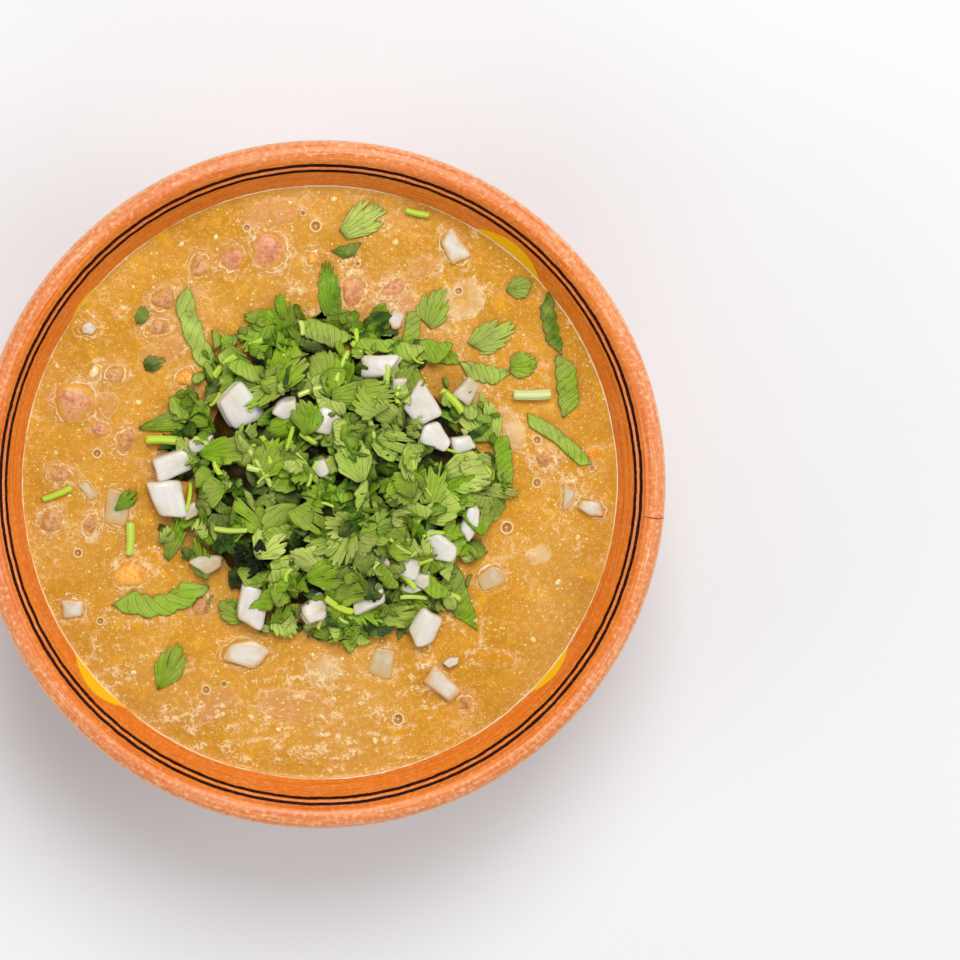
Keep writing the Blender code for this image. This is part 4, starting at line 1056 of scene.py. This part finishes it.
# Leaves that show on the heap, as the solids have them
HEAP_LEAVES = [Leaf(*row) for row in (
    (12, 25, 19.6, 9.2, 3, -14, "blade", 0.6), (44, 17, 15.5, 12.5, 118, 0, "fan", 0.9),
    (9.5, -40.5, 17.9, 8, -170, 0, "fan", 0.75), (-11, -37.5, 10.5, 7.6, 60, 30, "blade", 0.4),
    (38, -32, 15.5, 6.2, -72, 0, "strip", 0.4), (49, -2, 12.5, 4.8, -6, 0, "blade", 0.9),
    (46.5, -7.5, 10, 7, 200, 0, "fan", 0.45), (50.5, 6.5, 13, 5, -84, 0, "strip", 0.6),
    (-16.5, 45.6, 10.5, 7.3, 160, 0, "fan", 0.45), (-10.5, 46, 14.5, 6.7, 100, 0, "fan", 0.3),
    (0.5, 42, 13, 6.4, -22, 0, "strip", 0.7), (26, 37.4, 19, 7, -8, 10, "strip", 0.5),
    (-43, 17.5, 15.5, 6.5, 12, 20, "blade", 0.5), (-35, 20.5, 11.5, 8, 150, 0, "fan", 0.45),
    (-10, 33, 15, 12, 60, 0, "fan", 0.5), (1, 31, 13, 10, 110, 0, "fan", 0.55),
    (-14, -29, 15, 5.5, 55, 40, "strip", 0.45), (-25, -35, 9.5, 7, 150, 0, "fan", 0.6),
    (25, -33, 15, 9, -35, 0, "fan", 0.4), (37, -15, 13, 5, -60, 40, "strip", 0.5),
    (-41, -15, 13, 5.5, 70, 0, "blade", 0.4), (-34, -20, 13, 6.5, 100, 0, "blade", 0.4),
    (20, 11, 14, 9, -20, 20, "fan", 0.7), (8, 8, 14, 10, 110, 0, "fan", 0.8),
    (-15, 8, 13, 9, 60, 0, "fan", 0.5), (-3, -8, 14, 9, -30, 0, "fan", 0.55),
    (15, -12, 13, 9, 20, 0, "fan", 0.6), (-20, -8, 13, 8, 140, 0, "fan", 0.6),
    (30, 1, 13, 9, 80, 0, "fan", 0.6), (2, -24, 14, 9, 10, 0, "fan", 0.45),
    (-28, 10, 13, 8, 10, 0, "fan", 0.5), (24.5, 40, 16, 4.6, 80, 6, "strip", 0.65),
    (16, 38.5, 14, 4.2, -2, 0, "strip", 0.8), (32, 35.5, 12, 4, -8, 0, "strip", 0.5),
)]


def leaf_outline(leaf, chance, rows, columns):
    """A leaf's flat grid with its middle at the origin, and its values: a strip, or a fan from its stalk."""
    if leaf.kind == "strip":
        return leaf_strip(leaf.length, leaf.width, math.radians(leaf.bend), chance, rows, columns)
    x, y, values = leaf_fan(leaf.length, 0.6 if leaf.kind == "blade" else 1.0, chance, rows, columns)
    x = x * leaf.length / np.ptp(x)
    y = y * leaf.width / np.ptp(y)
    return x - (x.max() + x.min()) / 2, y - (y.max() + y.min()) / 2, values


class SOUP_OT_loose_leaves(bpy.types.Operator):
    """Lays the loose leaves and shreds on the broth"""
    bl_idname = "soup.loose_leaves"
    bl_label = "Loose leaves"

    def execute(self, context):
        """Each leaf is a flat outline laid on the broth or over the pieces in it, with slow waves."""
        chance = np.random.default_rng(61)
        leaves = Surfaces()
        resting = [measured(name) for name in nodes_named(*RESTING)]
        for number, leaf in enumerate(LOOSE_LEAVES):
            x, y, values = leaf_outline(leaf, chance, 61, 9)
            wx, wy = turned(x, y, math.radians(leaf.turn))
            wx, wy = leaf.x + wx, leaf.y + wy
            lift = np.zeros(wx.shape)
            for place in resting:
                over = smooth_step(1.6, -0.6, distance_to(place, wx, wy))
                lift = np.maximum(lift, (place.top - SOUP_LEVEL) * over)
            wave = 0.22 * (1.0 + np.sin(0.7 * x + number) * np.cos(0.9 * y))
            wave = wave + 0.16 * lattice_noise(wx, wy, 1.6, 62)
            height = broth_height(wx, wy) + 0.3 + lift + wave
            leaves.grid(np.stack([wx, wy, height], -1), tone=leaf.tone, **values)
        leaves.piece("loose_cilantro_leaves", cilantro_leaf(context.scene.soup_colours),
                     nodes_named("cilantro_leaf"), thickness=context.scene.soup_sizes.leaf_thickness)
        return {"FINISHED"}


# A crumpled, nearly black clump of cooked leaf, and gaps between the leaves where the mound's painted shade
# shows: middle and radius
CLUMP = (-21.4, -19.9)
CLUMP_LEAVES = 16
Gap = namedtuple("Gap", "x y radius")
GAPS = [Gap(*row) for row in (
    (-31.6, -24, 6.5), (4, 39, 5), (29, 30, 5.5), (-1.6, 3.2, 2.5), (-24, 21, 5.5), (-42, 0, 6),
    (15, 32, 4.5), (27.5, 23, 5), (31.5, 12, 4.5), (-21, -31, 4), (30, -17, 4.5), (41, -12, 3.5),
    (-10.5, 22, 3.5), (-21.4, -19.9, 4.5), (24, -25, 3.5), (-2.5, -35, 3.5),
)]


def heap_places(count, chance, widest):
    """Seeded places on the heap, evenly over its area, that keep out of the gaps."""
    found = []
    while len(found) < count:
        x, y = heap_place(chance, widest)
        if all(math.hypot(x - gap.x, y - gap.y) > gap.radius for gap in GAPS):
            found.append((x, y))
    return found


def surface_tilt(x, y, height):
    """Slope of the mound at a point as a pair of tilts, from its height a little to each side."""
    step = 2.0
    return (float(heap_top(x + step, y, height) - heap_top(x - step, y, height)) / (2 * step),
            float(heap_top(x, y + step, height) - heap_top(x, y - step, height)) / (2 * step))


def lay_on_heap(points, x, y, lift, turn, tilt_size, chance, height):
    """Turns a local piece, tilts it with the mound and by chance, and sets its middle on the mound."""
    slope_x, slope_y = surface_tilt(x, y, height)
    nod_x, nod_y = chance.normal(0.0, tilt_size, 2)
    normal = Vector((nod_x - 0.7 * slope_x, nod_y - 0.7 * slope_y, 1.0)).normalized()
    pose = Vector((0, 0, 1)).rotation_difference(normal).to_matrix() @ Matrix.Rotation(turn, 3, "Z")
    placed = points @ np.array(pose).T + np.array([x, y, float(heap_top(x, y, height)) + lift])
    placed[..., 2] = np.clip(placed[..., 2], SOUP_LEVEL + 0.35, TOP - 0.25)
    return placed


# How far the mound under the leaves goes out, as a share of the heap's reach, and its grid
CORE_SHARE = 0.9
CORE_RINGS = 60
CORE_TURNS = 160


class SOUP_OT_garnish_core(bpy.types.Operator):
    """Builds the mound of wet leaves under the garnish, painted dark as the shade between the leaves"""
    bl_idname = "soup.garnish_core"
    bl_label = "Garnish core"

    def execute(self, context):
        """A dome over angle and share of reach, its height the mound's, closed by its flat underside."""
        height = context.scene.soup_sizes.heap_height / MM - 0.4
        share = np.linspace(0.0, 0.985, CORE_RINGS)[:, None]
        turn = round_grid(2, CORE_TURNS)[1]
        reach = CORE_SHARE * share * heap_reach(turn)
        x, y = HEAP_X + reach * np.cos(turn), HEAP_Y + reach * np.sin(turn)
        crumb = 0.5 * lattice_noise(x, y, 1.6, 71) * np.minimum(1.0, 4.0 * (1.0 - share))
        fall = 1.0 + 3.5 * smooth_step(0.75, 1.0, share)
        top = np.stack([x, y, np.maximum(heap_top(x, y, height) - fall + crumb, SOUP_LEVEL - 0.2)], -1)
        floor = np.full(turn.shape, SOUP_LEVEL - 0.5)
        under = np.stack([np.concatenate([x[-1:], np.full(turn.shape, HEAP_X)]),
                          np.concatenate([y[-1:], np.full(turn.shape, HEAP_Y)]),
                          np.concatenate([floor, floor])], -1)
        core = Surfaces()
        # Painted shade: the mound is near black between the leaves, and darker towards its middle
        depth = np.concatenate([0.0 * turn + 1.0 - share ** 4, np.zeros((2, turn.size))])
        points = np.concatenate([top, under])
        core.grid(points[::-1], round_columns=True, crease=0.85 * depth[::-1], film=-1.0)
        material = cooked_food("Chopped greens in painted shade", "#6A4418", "#343410", "#090D03", 420.0, shine=0.15)
        core.piece("garnish_core", material, ["garnish_heap"], weld=True)
        return {"FINISHED"}


# Scattered leaves: how many and how far out as a share of the reach, their lengths, lifts, tilt and
# mean tone, the under layer's low tone being painted shade, and the rows and columns of each one's grid
Layer = namedtuple("Layer", "name count widest lengths lifts tilt tone rows columns")
LAYERS = [Layer("garnish_leaves_under", 170, 1.04, (7.0, 13.0), (-0.8, 0.6), 0.42, 0.12, 31, 5),
          Layer("garnish_leaves_upper", 160, 1.04, (6.0, 13.0), (0.2, 2.2), 0.4, 0.66, 37, 6),
          Layer("garnish_leaf_bits", 230, 1.12, (2.5, 6.0), (0.0, 2.4), 0.5, 0.5, 17, 4)]
# Share of the scattered leaves that are cut strips
STRIP_SHARE = 0.35


class SOUP_OT_garnish_leaves(bpy.types.Operator):
    """Scatters the chopped cilantro over the mound"""
    bl_idname = "soup.garnish_leaves"
    bl_label = "Garnish leaves"

    def execute(self, context):
        """Three scattered layers, the leaves that show and the dark clump, each leaf curled and laid.

        A leaf is paler the higher it lies in its layer, and dark where it dips into the mound: both are
        painted shade.
        """
        sizes, colours = context.scene.soup_sizes, context.scene.soup_colours
        material = cilantro_leaf(colours)
        height = sizes.heap_height / MM
        chance = np.random.default_rng(77)
        for layer in LAYERS:
            leaves = Surfaces()
            for x, y in heap_places(layer.count, chance, layer.widest):
                size = chance.uniform(*layer.lengths)
                kind = "strip" if chance.uniform() < STRIP_SHARE else "fan"
                width = size * (chance.uniform(0.25, 0.5) if kind == "strip" else chance.uniform(0.6, 1.0))
                leaf = Leaf(x, y, size, width, 0, chance.uniform(-60, 60), kind, 0)
                flat_x, flat_y, values = leaf_outline(leaf, chance, layer.rows, layer.columns)
                shape = curled(flat_x, flat_y, chance.normal(0.0, 0.8), chance.normal(0.0, 1.2),
                               chance.uniform(0.03, 0.12), chance, size)
                lift = chance.uniform(*layer.lifts)
                turn = chance.uniform(0, 2 * math.pi)
                placed = lay_on_heap(shape, x, y, lift, turn, layer.tilt, chance, height)
                # Leaves low in their layer, and parts that dip into the mound, are painted darker as shade
                depth_shade = 0.5 - (lift - layer.lifts[0]) / (layer.lifts[1] - layer.lifts[0])
                tone_and_depth_shade = np.clip(chance.normal(layer.tone - 0.35 * depth_shade, 0.26), 0.0, 1.0)
                above = placed[..., 2] - heap_top(placed[..., 0], placed[..., 1], height)
                leaves.grid(placed, tone=tone_and_depth_shade - 0.9 * smooth_step(0.9, -1.1, above), **values)
            leaves.piece(layer.name, material, [], thickness=sizes.leaf_thickness)
        shown = Surfaces()
        for leaf in HEAP_LEAVES:
            flat_x, flat_y, values = leaf_outline(leaf, chance, 61, 9)
            shape = curled(flat_x, flat_y, chance.normal(0.0, 0.35), chance.normal(0.0, 0.5), 0.05, chance,
                           leaf.length)
            lift = 2.4 if heap_share(leaf.x, leaf.y) < HEAP_EDGE else 0.8
            placed = lay_on_heap(shape, leaf.x, leaf.y, lift, math.radians(leaf.turn), 0.12, chance, height)
            shown.grid(placed, tone=leaf.tone, **values)
        for _ in range(CLUMP_LEAVES):
            size = chance.uniform(3.5, 6.5)
            leaf = Leaf(*chance.normal(CLUMP, 2.0), size, size * 0.7, 0, 0, "fan", 0)
            flat_x, flat_y, values = leaf_outline(leaf, chance, 25, 5)
            shape = curled(flat_x, flat_y, chance.normal(0.0, 2.5), chance.normal(0.0, 2.5), 0.2, chance,
                           size)
            lift, turn = chance.uniform(1.5, 3.0), chance.uniform(0, 6)
            placed = lay_on_heap(shape, leaf.x, leaf.y, lift, turn, 0.8, chance, height)
            shown.grid(placed, tone=-1.0, **values)
        shown.piece("garnish_leaves_shown", material, [], thickness=sizes.leaf_thickness)
        return {"FINISHED"}


Die = namedtuple("Die", "x y length width height turn tone")

# Onion dice that show in the heap; a high tone is greyer
HEAP_ONIONS = [Die(*row) for row in (
    (-23.5, 22.5, 13.5, 12, 6, -60, 0), (-10.2, 21.8, 7, 5.5, 5, 10, 0.1),
    (0.5, 17.6, 8.5, 7.5, 5, 70, 0.3), (-0.5, 5.3, 6, 5.5, 5, 20, 0.3), (15.4, 32.6, 11, 8, 5, -10, 0.15),
    (20.8, 27.4, 6.2, 4, 4.5, 80, 0.3), (26.6, 21.6, 11.5, 9.5, 5.5, -50, 0.15),
    (30.6, 13.2, 9.5, 8, 5.5, -40, 0), (39, 11.4, 7, 5.5, 4.5, 10, 0), (-33.2, 11.8, 7.5, 5, 4.5, 5, 0.1),
    (-41.8, 6, 12, 8, 4.5, 30, 0.15), (-42.8, -3.4, 13, 9.5, 5, -70, 0),
    (40.8, -11.2, 11.5, 5.2, 4.5, 75, 0.1), (31.6, -16.8, 13, 8, 5.5, -30, 0.1),
    (23, -22.2, 8, 7, 5.5, 80, 0), (25.4, -27.2, 9.5, 5.5, 4.5, 15, 0.25),
    (12.6, -31.8, 11, 6.5, 4.5, 30, 0.3), (-2.2, -34.2, 9.5, 7.5, 5, 60, 0.35),
    (-20, -33, 12.5, 9, 5, 75, 0.2), (28.8, -39.8, 11, 8, 4, 65, 0.35), (40, 26, 7.5, 6, 3.5, 50, 0.7),
    (-33.7, -5.8, 8.5, 4.8, 3.5, 15, 0.85), (-31.8, -21.6, 9.5, 5.5, 3.5, 0, 0.85),
    (16.3, -8.6, 3.8, 3.2, 3, 60, 0.1), (32.4, -4.4, 3.6, 2.6, 2.5, 0, 0.2),
    (43.6, 1.2, 5, 3.2, 3, 95, 0.4), (15.9, -21.2, 4.8, 4.2, 3.5, 20, 0.5),
    (36, -50, 4.6, 2.8, 1.8, 10, 0.2),
)]


class SOUP_OT_garnish_onion(bpy.types.Operator):
    """Sets the onion dice of the heap"""
    bl_idname = "soup.garnish_onion"
    bl_label = "Garnish onion"

    def execute(self, context):
        """Each die is one or two bowed layers of one outline, stacked with a little slip between them."""
        height = context.scene.soup_sizes.heap_height / MM
        chance = np.random.default_rng(91)
        onion = Surfaces()
        for die in HEAP_ONIONS:
            outer = heap_share(die.x, die.y) > HEAP_EDGE
            layers = 1 if outer or die.length < 8.0 else 2
            each = die.height / layers
            tilt, lean = chance.uniform(-0.3, 0.3, 2) * (0.4 if outer else 1.0)
            base = max(float(heap_top(die.x, die.y, height)) - 0.7, SOUP_LEVEL + 0.4 + die.height * 0.4)
            whole, out = chopped(die.length, die.width, each * 1.05, 0.1 * die.width, chance)
            for layer in range(layers):
                rise = (layer - (layers - 1) / 2) * each
                slip_x, slip_y = chance.uniform(-0.03, 0.03, 2) * die.width
                scale = chance.uniform(0.95, 1.0)
                shape = whole * np.array([scale, scale, 1.0]) + np.array([slip_x, slip_y, rise])
                placed = posed(shape, die.x, die.y, base, math.radians(die.turn), tilt, lean)
                placed[..., 2] = np.clip(placed[..., 2], SOUP_LEVEL + 0.1, TOP - 0.3)
                film = 0.7 * smooth_step(SOUP_LEVEL + 1.6, SOUP_LEVEL + 0.2, placed[..., 2])
                # Each die's tone rises towards its edges and sides: painted shade
                onion.grid(placed, round_columns=True, tone=die.tone + 0.35 * smooth_step(0.8, 1.0, out),
                           across=shape[..., 1] * 3.0, film=film)
        onion.piece("garnish_onion", raw_onion(context.scene.soup_colours), [], weld=True)
        return {"FINISHED"}


Stem = namedtuple("Stem", "x y length thickness turn tone")

LOOSE_STEMS = [Stem(*row) for row in (
    (26.5, 75, 6.7, 1.7, -12, 0.1), (-73, -2.2, 8.6, 1.7, 22, 0.1), (-53, -14.6, 9, 2.2, 88, 0.2),
    (58.4, 24.6, 10.4, 2.8, 1, 0.9),
)]
HEAP_STEMS = [Stem(*row) for row in (
    (-27, 33.5, 8.5, 2.2, 42, 0.1), (-43.5, 12.8, 10, 2.4, -3, 0.1), (36, 23.5, 8.5, 2.2, -45, 0.1),
    (43, 5.5, 9, 2, -28, 0.1), (-17, 5, 13, 1.5, -60, 0.4), (4, -33.5, 9, 2, -30, 0.1),
    (22, -25, 10, 1.6, -40, 0.2), (35, -31, 7, 1.8, -12, 0.2),
)]


# All stems on the heap, the seeded ones among them
STEMS_ON_HEAP = 52


def rod(length, thickness, bow, rows=15, columns=14):
    """Round rod along X: rings whose radius drops to nothing at both cut ends, bowed in the plane."""
    share = np.linspace(-1.0, 1.0, rows)[:, None]
    around = round_grid(2, columns)[1]
    radius = thickness / 2 * np.where(np.abs(share) > 0.999, 0.0, np.where(np.abs(share) > 0.84, 0.94, 1.0))
    radius = radius * (1.0 + 0.05 * np.sin(5.0 * around) + 0.05 * np.sin(4.0 * share))
    x = length / 2 * np.clip(share * 1.16, -1.0, 1.0) + 0.0 * around
    y = radius * np.cos(around) + bow * share ** 2
    z = radius * np.sin(around)
    return np.stack([x, y, z], -1), around / (2 * math.pi) + 0.0 * share


class SOUP_OT_stems(bpy.types.Operator):
    """Lays the cut stems on the broth and on the heap"""
    bl_idname = "soup.stems"
    bl_label = "Cilantro stems"

    def execute(self, context):
        """Rods on the broth at their nodes, and rods on the mound at given and seeded places."""
        height = context.scene.soup_sizes.heap_height / MM
        chance = np.random.default_rng(101)
        material = cilantro_stem(context.scene.soup_colours)
        loose = Surfaces()
        for stem in LOOSE_STEMS:
            shape, around = rod(stem.length, stem.thickness, 0.3)
            placed = posed(shape, stem.x, stem.y, SOUP_LEVEL + stem.thickness * 0.55, math.radians(stem.turn))
            loose.grid(placed, round_columns=True, tone=stem.tone, across=around)
        loose.piece("loose_cilantro_stems", material, nodes_named("cilantro_stem"), weld=True)
        stems = Surfaces()
        shown = list(HEAP_STEMS)
        while len(shown) < STEMS_ON_HEAP:
            shown.append(Stem(*heap_place(chance, 1.0), chance.uniform(3.5, 10.0), chance.uniform(0.7, 1.8),
                              chance.uniform(0, 180), chance.uniform(0.0, 0.4)))
        for stem in shown:
            shape, around = rod(stem.length, stem.thickness, chance.uniform(-1.0, 1.0))
            placed = lay_on_heap(shape, stem.x, stem.y, 1.8, math.radians(stem.turn), 0.15, chance, height)
            stems.grid(placed, round_columns=True, tone=stem.tone, across=around)
        stems.piece("garnish_stems", material, [], weld=True)
        return {"FINISHED"}


# All seeds with the seeded ones, and how far out these lie
SEED_COUNT = 60
SEED_REACH = 80.0


class SOUP_OT_seeds(bpy.types.Operator):
    """Sprinkles seeds on the broth"""
    bl_idname = "soup.seeds"
    bl_label = "Seeds"

    def execute(self, context):
        """Flat ovals half in the broth, at the given places and at seeded ones."""
        chance = np.random.default_rng(111)
        seeds = Surfaces()
        places = list(SEEDS)
        while len(places) < SEED_COUNT:
            spin, share = chance.uniform(0, 2 * math.pi), math.sqrt(chance.uniform(0.3, 1.0))
            places.append(turned(SEED_REACH * share, 0.0, spin))
        for number, (x, y) in enumerate(places):
            size = chance.uniform(1.5, 2.1) if number < len(SEEDS) else chance.uniform(0.7, 1.5)
            top = float(broth_height(np.float64(x), np.float64(y))) + 0.22 * size
            place = Place(x, y, size, size * 0.78, top, chance.uniform(0, 3))
            points = lump(place, 0.6, number, 0.0, rows=8, columns=12)[0]
            seeds.grid(points, round_columns=True, crease=0.0, film=-1.0)
        material = cooked_food("Pale seed", "#EBC878", "#F6E2AA", "#C98F3A", 500.0)
        seeds.piece("seeds", material, [], weld=True)
        return {"FINISHED"}


# Stage

# Soft square lights: name, place in metres and power in watts
LAMPS = [("key", (0.1, 0.75, 1.25), 14.5), ("left", (-1.2, -0.2, 0.7), 4.5), ("right", (1.2, 0.1, 0.8), 5.5),
         ("front", (0.0, -1.2, 0.7), 3.0)]
LAMP_SIZE = 0.7
SKY_STRENGTH = 0.38
FLOOR_REACH = 2.0
# The camera looks from a little behind and above the heap, in metres and degrees
CAMERA_PLACE = Vector((-0.040, 0.070, 0.97))
CAMERA_TARGET = Vector((0.0429, 0.0018, 0.070))
CAMERA_ANGLE = 16.58


class SOUP_OT_stage(bpy.types.Operator):
    """Sets the pale floor, the soft studio light and the camera"""
    bl_idname = "soup.stage"
    bl_label = "Stage"

    def execute(self, context):
        """Floor plane, four soft lights and a camera a little off the vertical."""
        scene = context.scene
        scene.view_settings.view_transform = "Standard"
        scene.view_settings.look = "None"
        mesh = bpy.data.meshes.new("floor")
        corners = [(x * FLOOR_REACH, y * FLOOR_REACH, 0) for x, y in ((-1, -1), (1, -1), (1, 1), (-1, 1))]
        mesh.from_pydata(corners, [], [(0, 1, 2, 3)])
        mesh.materials.append(new_material("Matt white board", Roughness=0.9, Base_Color="#E2E2E3")[0])
        floor = bpy.data.objects.new("floor", mesh)
        scene.collection.objects.link(floor)
        world = bpy.data.worlds.new("Studio")
        scene.world = world
        world.use_nodes = True
        background = world.node_tree.nodes["Background"]
        fill(background, {"Color": "#FFFFFF", "Strength": SKY_STRENGTH})
        for name, place, power in LAMPS:
            lamp = bpy.data.lights.new(name, "AREA")
            lamp.energy = power
            lamp.size = LAMP_SIZE
            light = bpy.data.objects.new(name, lamp)
            light.location = place
            light.rotation_euler = (-Vector(place)).to_track_quat("-Z", "Y").to_euler()
            scene.collection.objects.link(light)
        camera_data = bpy.data.cameras.new("camera")
        camera_data.angle = math.radians(CAMERA_ANGLE)
        camera_data.dof.use_dof = False
        camera = bpy.data.objects.new("camera", camera_data)
        forward = (CAMERA_TARGET - CAMERA_PLACE).normalized()
        right = forward.cross(Vector((0, 1, 0))).normalized()
        up = right.cross(forward)
        facing = Matrix((right, up, -forward)).transposed().to_4x4()
        camera.matrix_world = Matrix.Translation(CAMERA_PLACE) @ facing
        scene.collection.objects.link(camera)
        scene.camera = camera
        return {"FINISHED"}


class SOUP_PT_panel(bpy.types.Panel):
    """Lists the operators in the sidebar"""
    bl_idname = "SOUP_PT_panel"
    bl_label = "Bowl of soup"
    bl_space_type = "VIEW_3D"
    bl_region_type = "UI"
    bl_category = "Soup"

    def draw(self, context):
        """One button for each operator."""
        for operator in OPERATORS:
            self.layout.operator(operator.bl_idname)


OPERATORS = (
    SOUP_OT_bowl, SOUP_OT_broth, SOUP_OT_loose_onion, SOUP_OT_beans_and_meat, SOUP_OT_loose_leaves,
    SOUP_OT_garnish_core, SOUP_OT_garnish_leaves, SOUP_OT_garnish_onion, SOUP_OT_stems, SOUP_OT_seeds,
    SOUP_OT_stage)
CLASSES = (SOUP_PG_sizes, SOUP_PG_colours) + OPERATORS + (SOUP_PT_panel,)


def register():
    """Registers the classes and the scene's settings."""
    for each in CLASSES:
        bpy.utils.register_class(each)
    bpy.types.Scene.soup_sizes = bpy.props.PointerProperty(type=SOUP_PG_sizes)
    bpy.types.Scene.soup_colours = bpy.props.PointerProperty(type=SOUP_PG_colours)


def unregister():
    """Removes what register added."""
    del bpy.types.Scene.soup_colours
    del bpy.types.Scene.soup_sizes
    for each in reversed(CLASSES):
        bpy.utils.unregister_class(each)


def main():
    """Builds every piece and the stage."""
    register()
    bpy.ops.soup.bowl()
    bpy.ops.soup.broth()
    bpy.ops.soup.loose_onion()
    bpy.ops.soup.beans_and_meat()
    bpy.ops.soup.loose_leaves()
    bpy.ops.soup.garnish_core()
    bpy.ops.soup.garnish_leaves()
    bpy.ops.soup.garnish_onion()
    bpy.ops.soup.stems()
    bpy.ops.soup.seeds()
    bpy.ops.soup.stage()


if __name__ == "__main__":
    main()
